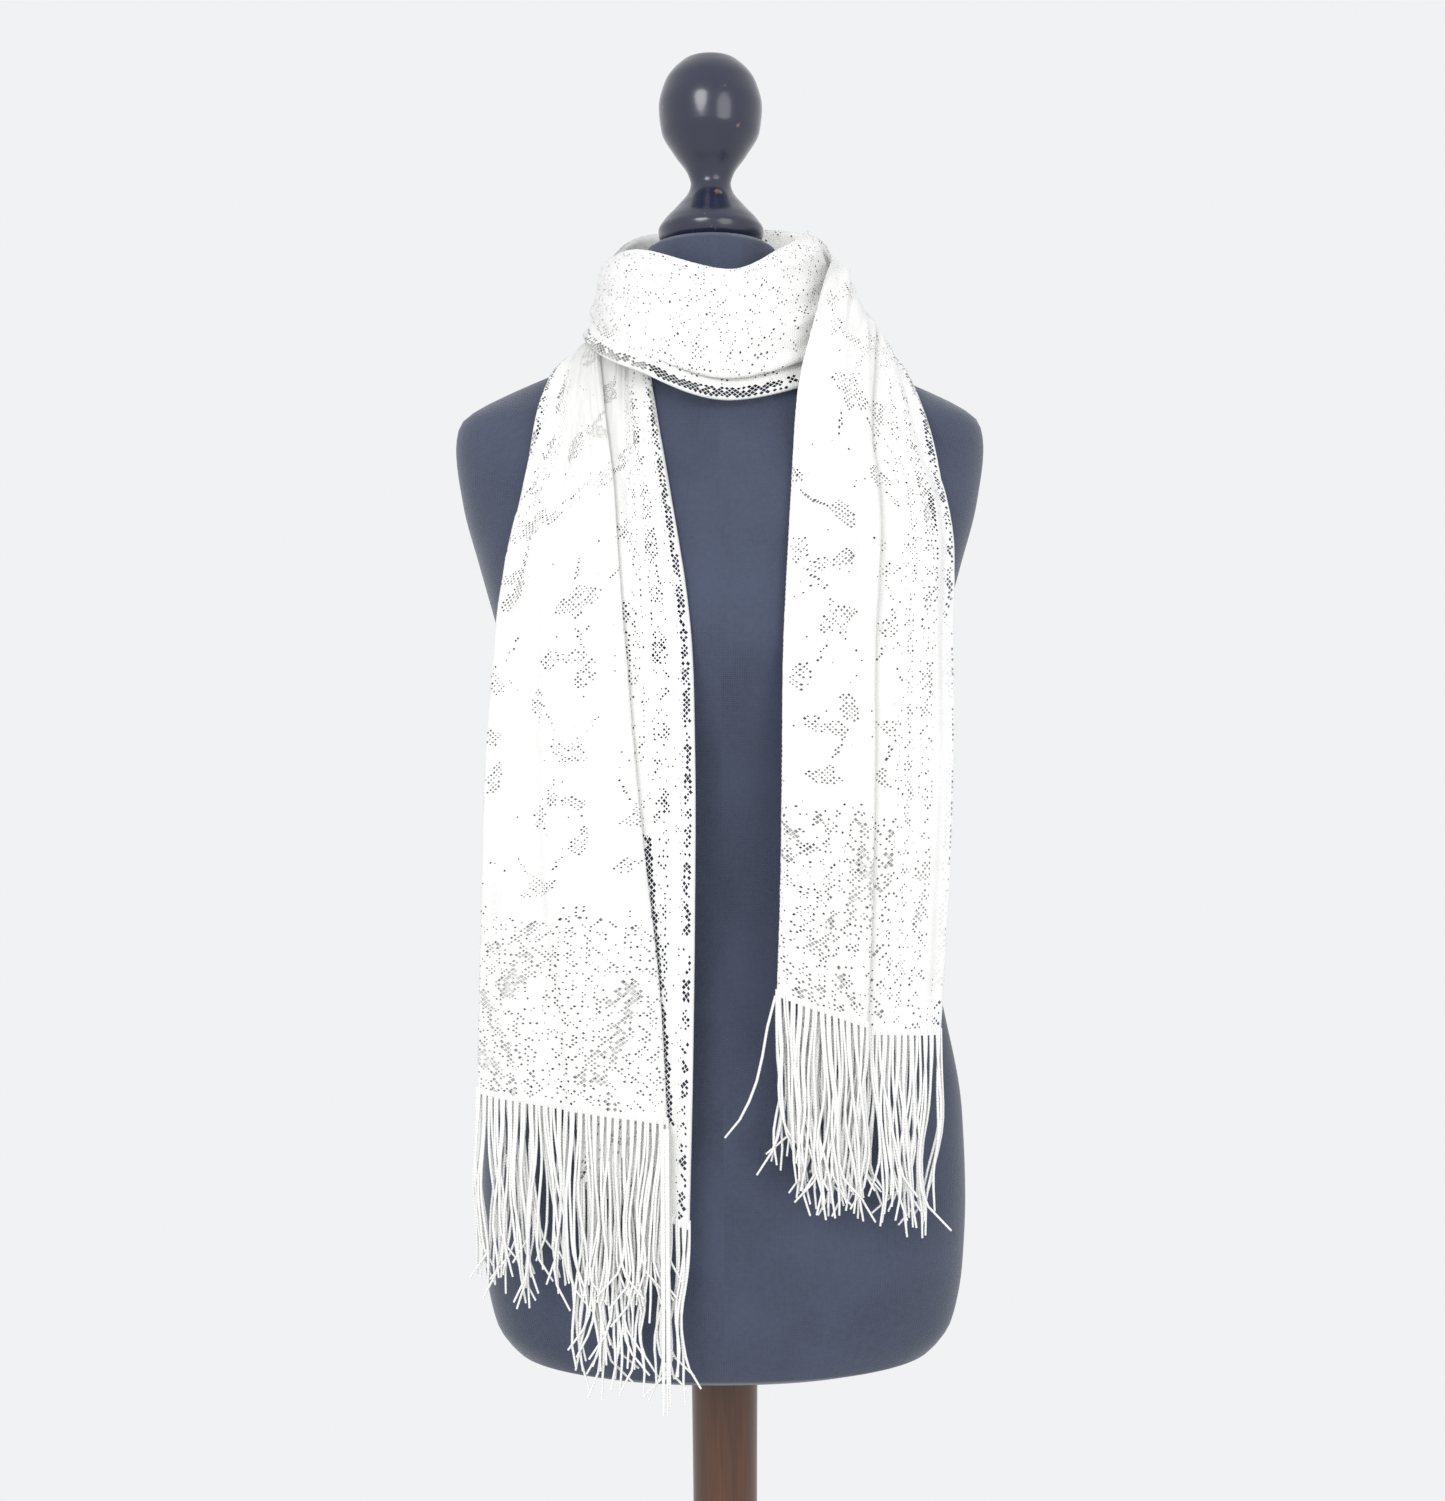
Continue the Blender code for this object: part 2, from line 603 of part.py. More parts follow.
def build_torso(collection):
    """The torso as a loft through its sections, closed flat at the neck and at the underside."""
    heights = torso_heights()
    angles = np.arange(TORSO_SEGMENTS) * 2 * math.pi / TORSO_SEGMENTS
    bm = bmesh.new()
    rings = []
    for z in heights:
        radius = surface_radius(TORSO_SECTIONS, angles, np.full(TORSO_SEGMENTS, z))
        middle = float(neck_lean(z))
        rings.append(
            [bm.verts.new((middle + r * math.sin(a), -r * math.cos(a), z)) for r, a in zip(radius, angles)]
        )
    for lower, upper in zip(rings, rings[1:]):
        for i in range(TORSO_SEGMENTS):
            j = (i + 1) % TORSO_SEGMENTS
            bm.faces.new((lower[i], lower[j], upper[j], upper[i]))
    bm.faces.new(rings[0][::-1])
    bm.faces.new(rings[-1])
    bmesh.ops.recalc_face_normals(bm, faces=bm.faces)
    mesh = bpy.data.meshes.new("form_torso")
    bm.to_mesh(mesh)
    bm.free()
    torso = add_object("form_torso", mesh, collection, BLACK_JERSEY)
    mesh.shade_smooth()
    mesh.set_sharp_from_angle(angle=math.radians(60))
    return torso


def torso_heights():
    """The height of every section, and one more between those that are far apart."""
    heights = [row[1] for row in TORSO_SECTIONS]
    widest_step = 0.06
    filled = []
    for low, high in zip(heights, heights[1:]):
        filled.append(low)
        if high - low > widest_step:
            filled.append((low + high) / 2)
    return [*filled, heights[-1]]


def turned(name, profile, segments, lift, collection, spec):
    """A turned solid from a profile that runs down its outer side and back to the axis."""
    mesh = bpy.data.meshes.new(name)
    points = [(radius, 0.0, height + lift) for _, radius, height in profile]
    mesh.from_pydata(points, [(i, i + 1) for i in range(len(points) - 1)], [])
    obj = add_object(name, mesh, collection, spec)
    screw = obj.modifiers.new("turning", "SCREW")
    screw.steps = screw.render_steps = segments
    screw.use_merge_vertices = True
    screw.merge_threshold = 0.00005
    screw.use_smooth_shade = True
    return obj


def build_stand(collection):
    finial = turned(
        "form_finial", FINIAL_PROFILE, TURNED_SEGMENTS, NECK_TOP + SEAT_GAP, collection, BLACK_LACQUER
    )
    finial.location.x = NECK_LEAN
    turned("form_foot", FOOT_PROFILE, FOOT_SEGMENTS, 0.0, collection, BROWN_WOOD)
    low, high = FOOT_TOP + SEAT_GAP, TORSO_UNDERSIDE - SEAT_GAP
    post_profile = (
        ("top centre", 0.0, high),
        ("top", POST_TOP_RADIUS, high),
        ("below top", POST_RADIUS, high - 0.12),
        ("foot", POST_RADIUS, low),
        ("foot centre", 0.0, low),
    )
    turned("form_post", post_profile, TURNED_SEGMENTS, 0.0, collection, BROWN_WOOD)


def main():
    clear_scene()
    collection = bpy.data.collections.new("Lace shawl on a dress form")
    bpy.context.scene.collection.children.link(collection)
    build_torso(collection)
    build_stand(collection)
    build_stretches(collection)
    build_fringes(collection)


if __name__ == "__main__":
    main()
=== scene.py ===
"""Dresses the lace shawl and its dress form: knitted net, fringe, the form's finishes and a plain stage."""

import functools
import math

import bmesh
import bpy
import numpy as np
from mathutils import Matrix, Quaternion, Vector
from mathutils.bvhtree import BVHTree


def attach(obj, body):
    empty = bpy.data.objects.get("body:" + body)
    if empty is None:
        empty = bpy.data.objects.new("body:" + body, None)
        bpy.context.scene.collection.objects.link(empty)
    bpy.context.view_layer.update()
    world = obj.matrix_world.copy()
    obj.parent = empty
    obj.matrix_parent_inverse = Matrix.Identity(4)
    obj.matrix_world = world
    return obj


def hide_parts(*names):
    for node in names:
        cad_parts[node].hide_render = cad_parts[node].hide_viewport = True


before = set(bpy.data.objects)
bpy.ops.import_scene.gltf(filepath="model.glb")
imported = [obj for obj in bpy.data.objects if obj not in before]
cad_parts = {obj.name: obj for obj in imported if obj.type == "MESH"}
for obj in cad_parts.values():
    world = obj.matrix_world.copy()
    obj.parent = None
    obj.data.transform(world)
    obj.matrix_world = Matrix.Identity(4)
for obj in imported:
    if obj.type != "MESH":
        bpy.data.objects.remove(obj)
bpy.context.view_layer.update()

bl_info = {
    "name": "Lace shawl on a dress form",
    "version": (1, 0, 0),
    "blender": (4, 5, 0),
    "location": "3D View > Sidebar > Shawl",
    "description": "Makes the knitted lace, fringe and finishes of a shawl wound round a dress form",
    "category": "Object",
}

# Horizontal sections of the torso: height, half width, depth in front, depth behind, squareness.
TORSO_SECTIONS = (
    ("underside", 0.720, 0.120, 0.077, 0.087, 2.2),
    ("lower roll", 0.7265, 0.1415, 0.091, 0.102, 2.2),
    ("seat", 0.748, 0.1565, 0.100, 0.112, 2.2),
    ("low hip", 0.785, 0.1630, 0.104, 0.116, 2.25),
    ("hip", 0.830, 0.1650, 0.105, 0.117, 2.3),
    ("high hip", 0.885, 0.1632, 0.102, 0.111, 2.3),
    ("belly", 0.953, 0.1515, 0.096, 0.098, 2.25),
    ("waist", 1.040, 0.130, 0.086, 0.080, 2.2),
    ("ribs", 1.110, 0.131, 0.094, 0.080, 2.2),
    ("under bust", 1.160, 0.140, 0.110, 0.085, 2.2),
    ("bust", 1.210, 0.151, 0.1235, 0.090, 2.3),
    ("upper bust", 1.256, 0.1635, 0.116, 0.095, 2.4),
    ("armhole", 1.300, 0.1752, 0.100, 0.095, 2.5),
    ("armhole top", 1.338, 0.180, 0.083, 0.087, 2.6),
    ("shoulder tip", 1.352, 0.178, 0.076, 0.079, 2.6),
    ("shoulder", 1.362, 0.169, 0.071, 0.074, 2.4),
    ("mid shoulder", 1.372, 0.151, 0.067, 0.070, 2.2),
    ("inner shoulder", 1.384, 0.124, 0.062, 0.066, 2.1),
    ("neck root", 1.396, 0.094, 0.058, 0.062, 2.0),
    ("neck foot", 1.408, 0.070, 0.055, 0.059, 2.0),
    ("low neck", 1.422, 0.055, 0.0525, 0.056, 2.0),
    ("neck", 1.440, 0.0485, 0.0510, 0.053, 2.0),
    ("high neck", 1.462, 0.0465, 0.0500, 0.051, 2.0),
    ("neck edge", 1.473, 0.0445, 0.0480, 0.049, 2.0),
    ("neck top", 1.477, 0.0395, 0.0430, 0.044, 2.0),
)
NECK_LEAN = -0.0052
LEAN_FROM = 1.385
NECK_TOP = 1.477

# What the hanging cloth drapes over: the torso down to the armholes, then plumb from the bust.
DRAPE_SECTIONS = (
    ("plumb hem", 0.700, 0.215, 0.1215, 0.118, 2.3),
    ("plumb waist", 1.060, 0.215, 0.1250, 0.118, 2.3),
    ("over bust", 1.210, 0.200, 0.1245, 0.118, 2.3),
    ("over chest", 1.256, 0.186, 0.1180, 0.110, 2.4),
    ("armhole", 1.300, 0.177, 0.1010, 0.096, 2.5),
) + TORSO_SECTIONS[13:]

# The shawl's path. Each row: station, its outer or lower edge (x, y, z), then its inner or upper edge. Y of
# None lies on the drape.
STATIONS = (
    ("left hem", (-0.1572, None, 0.914), (-0.0200, None, 0.838)),
    ("left thigh", (-0.1552, None, 0.985), (-0.0175, None, 0.930)),
    ("left waist", (-0.1530, None, 1.060), (-0.0155, None, 1.040)),
    ("left ribs", (-0.1498, None, 1.135), (-0.0150, None, 1.130)),
    ("left bust", (-0.1432, None, 1.213), (-0.0175, None, 1.210)),
    ("left chest", (-0.1277, None, 1.300), (-0.0300, None, 1.295)),
    ("left collar", (-0.1175, -0.0660, 1.362), (-0.0415, None, 1.362)),
    ("left shoulder", (-0.1040, -0.0260, 1.392), (-0.0500, -0.0400, 1.424)),
    ("left side", (-0.0820, 0.0080, 1.4035), (-0.0530, 0.0040, 1.4500)),
    ("left back", (-0.0600, 0.0580, 1.398), (-0.0400, 0.0420, 1.4680)),
    ("back", (0.0000, 0.0740, 1.384), (0.0000, 0.0560, 1.4820)),
    ("right back", (0.0620, 0.0580, 1.396), (0.0430, 0.0420, 1.4880)),
    ("right side", (0.0820, 0.0000, 1.404), (0.0580, -0.0020, 1.4880)),
    ("right front", (0.0600, -0.0670, 1.370), (0.0400, -0.0440, 1.4655)),
    ("front", (0.0060, -0.0800, 1.3570), (0.0100, -0.0600, 1.4480)),
    ("left front", (-0.0540, -0.0810, 1.3740), (-0.0490, -0.0460, 1.4640)),
    ("left side over", (-0.0790, -0.0020, 1.4120), (-0.0690, 0.0000, 1.4720)),
    ("left back over", (-0.0660, 0.0680, 1.4020), (-0.0510, 0.0550, 1.5000)),
    ("back over", (0.0000, 0.0860, 1.3860), (0.0000, 0.0700, 1.5085)),
    ("right back over", (0.0740, 0.0700, 1.4030), (0.0590, 0.0560, 1.5000)),
    ("right side over", (0.1060, 0.0000, 1.4050), (0.0610, -0.0020, 1.4520)),
    ("right shoulder", (0.1230, -0.0380, 1.3840), (0.0600, -0.0500, 1.4360)),
    ("right neckline", (0.1310, -0.0580, 1.3620), (0.0570, -0.0740, 1.4060)),
    ("right collar", (0.1379, -0.0750, 1.3370), (0.0500, -0.0850, 1.3680)),
    ("right chest", (0.1463, None, 1.2980), (0.0443, None, 1.3050)),
    ("right bust", (0.1488, None, 1.2050), (0.0378, None, 1.2050)),
    ("right ribs", (0.1487, None, 1.1300), (0.0364, None, 1.1300)),
    ("right waist", (0.1453, None, 1.0500), (0.0353, None, 1.0600)),
    ("right hem", (0.1384, None, 0.9510), (0.0326, None, 0.9790)),
)

# Where the folds lie, as shares of the way from the outer edge to the inner one: the flap's end, the first
# panel's end, the second panel's start and the last run's end.
FOLDS = (
    ("left hem", 0.45, 0.91, 0.50, 0.985),
    ("left thigh", 0.45, 0.86, 0.44, 0.985),
    ("left waist", 0.43, 0.78, 0.36, 0.985),
    ("left bust", 0.40, 0.68, 0.32, 0.985),
    ("left chest", 0.12, 0.64, 0.38, 0.98),
    ("left collar", 0.01, 0.56, 0.48, 0.95),
    ("left side", 0.01, 0.46, 0.54, 0.70),
    ("left back", 0.02, 0.62, 0.34, 0.45),
    ("back", 0.015, 0.84, 0.18, 0.36),
    ("right side", 0.015, 0.84, 0.18, 0.36),
    ("front", 0.015, 0.86, 0.15, 0.36),
    ("left side over", 0.015, 0.84, 0.18, 0.36),
    ("back over", 0.015, 0.84, 0.18, 0.36),
    ("right side over", 0.02, 0.80, 0.28, 0.34),
    ("right neckline", 0.02, 0.74, 0.44, 0.24),
    ("right chest", 0.02, 0.78, 0.47, 0.18),
    ("right bust", 0.02, 0.84, 0.49, 0.16),
    ("right hem", 0.02, 0.90, 0.465, 0.14),
)

# How many layers lie under each run: flap, first panel, return, second panel, last run.
LEVELS = (
    ("left hem", 2.0, 3.0, 2.0, 1.0, 0.0),
    ("left chest", 2.0, 3.0, 2.0, 1.0, 0.0),
    ("left collar", 1.6, 2.8, 2.0, 1.3, 0.2),
    ("left side", 0.6, 2.0, 2.0, 2.0, 0.2),
    ("left back", 0.0, 1.2, 2.0, 2.8, 0.0),
    ("back", 0.0, 1.0, 2.0, 3.0, 0.0),
    ("right hem", 0.0, 1.0, 2.0, 3.0, 0.0),
)
HEM_SHIFTS = {
    "left": (0.050, 0.000, 0.0545, -0.018, -0.006, -0.002),
    "right": (0.000, 0.000, -0.021, -0.0065, 0.000, 0.000),
}
SHIFT_KNOTS = (0, 3, 9, 13, 19, 22)
LEVEL_STEP = 0.0028
FOLD_INSET = 0.0025
STAND_OFF = 0.0016
PASSES = (
    ("right side", "right side over", "right side"),
    ("right side over", "right hem", "left side over"),
)
LIFT_CLEAR = 0.0032
LIFT_REACH = 0.05
LEAST_LAP = 0.20

# Flat width of the borders that stay smooth where the cloth is gathered, and how much of it they keep.
BORDER = 0.026
BORDER_HOLD = 0.7

# Each stretch: its node, its first and last station, the nodes it rests on and the ends that have a fringe.
STRETCHES = (
    ("tail_left", "left hem", "left side", ("form_torso",), ("left",)),
    ("back_inner", "left side", "right side", ("form_torso",), ()),
    ("front_band", "right side", "left side over", ("form_torso", "tail_left"), ()),
    ("back_outer", "left side over", "right side over", ("form_torso", "back_inner"), ()),
    ("tail_right", "right side over", "right hem", ("form_torso", "front_band"), ("right",)),
)

# How far before a hidden edge the cloth over it is fully raised, and over what distance it rises.
SETTLE_MARGIN = 0.0015
SETTLE_RAMP = 0.009

# Soft flutes that all the layers share: from and to which station, the share across at each, height and half
# width in millimetres.
FLUTES = (
    ("left hem", "left chest", 0.16, 0.22, 4.5, 11.0),
    ("left waist", "left collar", 0.55, 0.45, 3.5, 8.0),
    ("left hem", "left ribs", 0.66, 0.62, 4.0, 12.0),
    ("left thigh", "left bust", 0.36, 0.40, 2.5, 9.0),
    ("left chest", "left side", 0.20, 0.30, 4.0, 7.0),
    ("left bust", "left side", 0.78, 0.62, 3.0, 6.0),
    ("left hem", "left waist", 0.93, 0.90, 3.0, 8.0),
    ("left back", "right back", 0.35, 0.55, 2.5, 12.0),
    ("right back", "left front", 0.30, 0.42, 2.5, 9.0),
    ("right front", "left side over", 0.62, 0.74, 2.5, 8.0),
    ("left side over", "right side over", 0.60, 0.45, 3.0, 12.0),
    ("right side over", "right chest", 0.30, 0.22, 5.0, 9.0),
    ("right shoulder", "right bust", 0.62, 0.66, 4.0, 9.0),
    ("right collar", "right hem", 0.16, 0.14, 4.0, 9.0),
    ("right chest", "right hem", 0.74, 0.78, 4.5, 12.0),
    ("right ribs", "right hem", 0.36, 0.32, 3.0, 8.0),
)

# Creases of the panels that show: panel, from and to which station, the place across the panel at each,
# height and half width in millimetres.
CREASES = (
    ("first", "left collar", "left bust", 0.62, 0.30, 2.2, 4.0),
    ("first", "left side", "left chest", 0.35, 0.66, 2.4, 4.5),
    ("first", "left bust", "left hem", 0.72, 0.80, 2.0, 6.0),
    ("first", "left chest", "left waist", 0.18, 0.12, 2.0, 5.0),
    ("second", "left collar", "left waist", 0.80, 0.72, 1.8, 3.5),
    ("second", "right front", "left front", 0.72, 0.60, 2.0, 5.0),
    ("second", "right side", "front", 0.45, 0.32, 2.0, 5.0),
    ("second", "front", "left front", 0.30, 0.42, 1.6, 5.0),
    ("second", "left side over", "back over", 0.25, 0.40, 3.0, 6.0),
    ("second", "left back over", "right back over", 0.62, 0.70, 3.5, 6.0),
    ("second", "back over", "right side over", 0.30, 0.18, 2.5, 5.0),
    ("second", "right side over", "right chest", 0.70, 0.40, 2.6, 4.5),
    ("second", "right shoulder", "right bust", 0.28, 0.14, 2.4, 4.0),
    ("first", "right side over", "right collar", 0.35, 0.22, 3.0, 4.0),
    ("first", "right neckline", "right bust", 0.42, 0.30, 2.6, 4.0),
    ("second", "right bust", "right hem", 0.60, 0.55, 2.0, 7.0),
    ("first", "right bust", "right waist", 0.18, 0.16, 2.0, 5.0),
)
PANEL_KNOTS = {"first": (3, 9), "second": (13, 19)}
PANEL_WAVE = 0.021
# How many times the width of one panel goes into the whole folded run.
PANELS_IN_RUN = 2.4

FINIAL_PROFILE = (
    ("top", 0.0000, 0.1290),
    ("top edge", 0.0145, 0.1290),
    ("crown", 0.0235, 0.1235),
    ("upper ball", 0.0315, 0.1125),
    ("ball", 0.0355, 0.0960),
    ("lower ball", 0.0338, 0.0800),
    ("waisting", 0.0250, 0.0640),
    ("narrow", 0.0158, 0.0505),
    ("neck", 0.0138, 0.0435),
    ("bead", 0.0150, 0.0385),
    ("flare", 0.0235, 0.0275),
    ("skirt", 0.0330, 0.0170),
    ("rim", 0.0362, 0.0110),
    ("rim foot", 0.0350, 0.0050),
    ("seat", 0.0300, 0.0000),
    ("centre", 0.0000, 0.0000),
)
POST_PROFILE = (
    ("top centre", 0.0000, 0.7197),
    ("top", 0.0228, 0.7197),
    ("below top", 0.0218, 0.5997),
    ("foot", 0.0218, 0.0343),
    ("foot centre", 0.0000, 0.0343),
)
FOOT_PROFILE = (
    ("hub", 0.0000, 0.0340),
    ("hub edge", 0.0380, 0.0340),
    ("hub foot", 0.0430, 0.0290),
    ("dish", 0.1740, 0.0270),
    ("shoulder", 0.1860, 0.0230),
    ("edge", 0.1900, 0.0150),
    ("lower edge", 0.1885, 0.0040),
    ("under edge", 0.1850, 0.0000),
    ("centre", 0.0000, 0.0000),
)

# The net's holes, from closed to wide: how bold a hole must be for each size, and the bar that is left round
# it in shares of the largest circle in a cell.
HOLE_SIZES = ((0.0, 0.74), (0.5, 0.62), (1.0, 0.46), (2.0, 0.24), (2.6, 0.14))

# How far the net is drawn out of line, over what distance from an edge it comes free, and the size of a pull in
# millimetres.
SLACK = 0.0014
SLACK_EDGE = 0.006
SLACK_PATCH = 5.0

# One repeat of the plain middle in millimetres: its petals, leaves and stems (root x, y, length, fullness, turn
# in degrees).
REPEAT = (62, 98)
LEAVES = (
    (-6, 4, 15, 0.36, 32),
    (-6, 4, 13, 0.38, 112),
    (-6, 4, 15, 0.35, 200),
    (-6, 4, 12, 0.36, 286),
    (-3, -7, 27, 0.05, 298),
    (13, -30, 26, 0.22, 254),
    (10, -27, 19, 0.26, 192),
    (0, 15, 26, 0.05, 58),
    (15, 27, 26, 0.21, 74),
    (-14, 15, 22, 0.05, 118),
    (-20, -36, 17, 0.32, 36),
)

# Each fringe: its end and its length at these places across.
FRINGES = (
    ("left", ((-0.150, 0.121), (-0.090, 0.125), (-0.017, 0.104))),
    ("right", ((0.036, 0.108), (0.095, 0.113), (0.138, 0.126))),
)
# Strands that the photo shows apart from the rest: a few long ones together, each with its place across and its
# share of their length, and one that strays.
LONG_BUNCH = ((-0.0385, 1.0), (-0.0371, 0.985), (-0.0357, 0.995), (-0.0343, 0.97))
LONG_BUNCH_HEIGHTS = (0.897, 0.719)
LONG_BUNCH_DEPTH = -0.1345
STRAY_STRAND = (
    (0.0330, -0.1300, 0.9790),
    (0.0295, -0.1300, 0.9690),
    (0.0262, -0.1300, 0.9500),
    (0.0231, -0.1295, 0.9323),
    (0.0190, -0.1290, 0.9190),
    (0.0136, -0.1290, 0.9074),
    (0.0070, -0.1290, 0.8960),
    (0.0010, -0.1290, 0.8905),
)

# The torso's mesh: faces round it, rows up it, and the extra rows that round each rim.
TORSO_SEGMENTS = 128
TORSO_ROWS = 126
RIM_ROWS = 12
RIM_REACH = 0.008
RIM_ANGLE = math.radians(50)

CAMERA_ASIDE = 0.0008
# Distance between the bands of a wave texture at scale 1.
WAVE_PERIOD = 0.314


def linear(code, alpha=None):
    """The linear colour of an sRGB hex code."""
    parts = [int(code[i : i + 2], 16) / 255 for i in (0, 2, 4)]
    colour = tuple(c / 12.92 if c <= 0.04045 else ((c + 0.055) / 1.055) ** 2.4 for c in parts)
    return colour if alpha is None else (*colour, alpha)


class ShawlSettings(bpy.types.PropertyGroup):
    border_columns: bpy.props.IntProperty(
        name="Border columns", description="Half cells of the net across each openwork border", default=32
    )
    border_step: bpy.props.FloatProperty(
        name="Border step", description="Width of half a cell there", default=0.0016, unit="LENGTH"
    )
    field_columns: bpy.props.IntProperty(
        name="Field columns", description="Half cells of the net across the middle", default=118
    )
    field_step: bpy.props.FloatProperty(
        name="Field step", description="Width of half a cell there", default=0.0021, unit="LENGTH"
    )
    row_step: bpy.props.FloatProperty(
        name="Row step", description="Height of half a cell", default=0.0016, unit="LENGTH"
    )
    yarn: bpy.props.FloatVectorProperty(
        name="Yarn", description="Colour of the yarn", default=linear("F9F9F7"), subtype="COLOR"
    )


class FringeSettings(bpy.types.PropertyGroup):
    strands: bpy.props.IntProperty(
        name="Strands", description="Strands along each hem", default=140, min=20, max=200
    )
    thickness: bpy.props.FloatProperty(
        name="Strand", description="Diameter of a strand", default=0.00175, unit="LENGTH"
    )
    sway: bpy.props.FloatProperty(
        name="Sway", description="How far the strands wander sideways", default=0.0044, unit="LENGTH"
    )


class FormSettings(bpy.types.PropertyGroup):
    jersey: bpy.props.FloatVectorProperty(
        name="Jersey", description="Colour of the cover", default=linear("3D4457"), subtype="COLOR"
    )
    lacquer: bpy.props.FloatVectorProperty(
        name="Lacquer", description="Colour of the knob", default=linear("1C2038"), subtype="COLOR"
    )
    stain: bpy.props.FloatVectorProperty(
        name="Stain", description="Colour of the post and foot", default=linear("4D2D19"), subtype="COLOR"
    )


class StageSettings(bpy.types.PropertyGroup):
    distance: bpy.props.FloatProperty(
        name="Distance", description="From the camera to the form's axis", default=1.4, unit="LENGTH"
    )
    eye: bpy.props.FloatProperty(
        name="Eye height", description="Height of the camera", default=1.132, unit="LENGTH"
    )
    lens: bpy.props.FloatProperty(name="Lens", description="Focal length in millimetres", default=48.9)
    tilt: bpy.props.FloatProperty(
        name="Tilt", description="How far the picture leans", default=math.radians(-0.3), subtype="ANGLE"
    )


def steady_curve(knots, values, at):
    """Values at these places on a smooth curve through the knots that never overshoots them."""
    knots, values, at = (np.asarray(a, float) for a in (knots, values, at))
    slope = np.diff(values) / np.diff(knots)
    tangent = np.zeros(len(knots))
    same_way = slope[:-1] * slope[1:] > 0
    harmonic = 2 * slope[:-1] * slope[1:] / np.where(same_way, slope[:-1] + slope[1:], 1)
    tangent[1:-1] = np.where(same_way, harmonic, 0)
    tangent[0], tangent[-1] = slope[0], slope[-1]
    return hermite(knots, values, tangent, at)


def round_curve(knots, values, at):
    """Values at these places on a rounded curve through the knots, for paths that turn."""
    knots, values, at = (np.asarray(a, float) for a in (knots, values, at))
    step = np.diff(knots)
    slope = np.diff(values) / step
    tangent = np.empty(len(knots))
    tangent[1:-1] = (slope[:-1] * step[1:] + slope[1:] * step[:-1]) / (step[:-1] + step[1:])
    tangent[0], tangent[-1] = slope[0], slope[-1]
    return hermite(knots, values, tangent, at)


def hermite(knots, values, tangent, at):
    i = np.clip(np.searchsorted(knots, at, side="right") - 1, 0, len(knots) - 2)
    width = knots[i + 1] - knots[i]
    t = np.clip((at - knots[i]) / width, 0, 1)
    return (
        values[i] * (2 * t**3 - 3 * t**2 + 1)
        + tangent[i] * width * (t**3 - 2 * t**2 + t)
        + values[i + 1] * (3 * t**2 - 2 * t**3)
        + tangent[i + 1] * width * (t**3 - t**2)
    )


def surface_radius(sections, angle, z):
    """Distance from the upright axis to the surface. Angle 0 faces the front, +90 degrees is +X."""
    heights = [row[1] for row in sections]
    half, front, back, square = (steady_curve(heights, [r[k] for r in sections], z) for k in (2, 3, 4, 5))
    depth = np.where(np.cos(angle) > 0, front, back)
    across = np.abs(np.sin(angle)) / half
    along = np.abs(np.cos(angle)) / depth
    return (across**square + along**square) ** (-1 / square)


def neck_lean(z):
    """How far the axis of the neck has moved to the side at this height."""
    way = np.clip((z - LEAN_FROM) / (NECK_TOP - LEAN_FROM), 0, 1)
    return NECK_LEAN * way * (2 - way)


def stand_off(point):
    """How far outside the drape each point is, along the axis's radius."""
    x, y, z = np.moveaxis(point, -1, 0)
    x = x - neck_lean(z)
    return np.hypot(x, y) - surface_radius(DRAPE_SECTIONS, np.arctan2(x, -y), z)


def front_of_drape(x, z):
    heights = [row[1] for row in DRAPE_SECTIONS]
    half, front, square = (steady_curve(heights, [r[k] for r in DRAPE_SECTIONS], z) for k in (2, 3, 5))
    return -front * (1 - (np.abs(x) / half) ** square) ** (1 / square)


def pushed_clear(point, least):
    """The points moved out of the drape, along its own normals, until each is at least this far from it."""
    eps = 0.0005
    for _ in range(3):
        value = stand_off(point)
        slope = np.stack(
            [stand_off(point + eps * axis) - stand_off(point - eps * axis) for axis in np.eye(3)], axis=-1
        ) / (2 * eps)
        steep = np.linalg.norm(slope, axis=-1)
        short = np.clip(least - value / steep, 0, None)
        point = point + slope / steep[..., None] * short[..., None]
    return point


def station_edges():
    edges = np.empty((2, len(STATIONS), 3))
    for i, (_, outer, inner) in enumerate(STATIONS):
        for side, (x, y, z) in enumerate((outer, inner)):
            depth = float(front_of_drape(x, z)) if y is None else y
            edges[side, i] = (x, depth, z)
    return edges


EDGES = station_edges()
ALONG = np.concatenate([[0], np.cumsum(np.linalg.norm(np.diff(EDGES.mean(axis=0), axis=0), axis=1))])
PLACE = {row[0]: ALONG[i] for i, row in enumerate(STATIONS)}


def table_curve(table, column, along):
    return steady_curve([PLACE[row[0]] for row in table], [row[column] for row in table], along)


def edge_curve(side, along):
    return np.stack([round_curve(ALONG, EDGES[side, :, k], along) for k in range(3)], axis=-1)


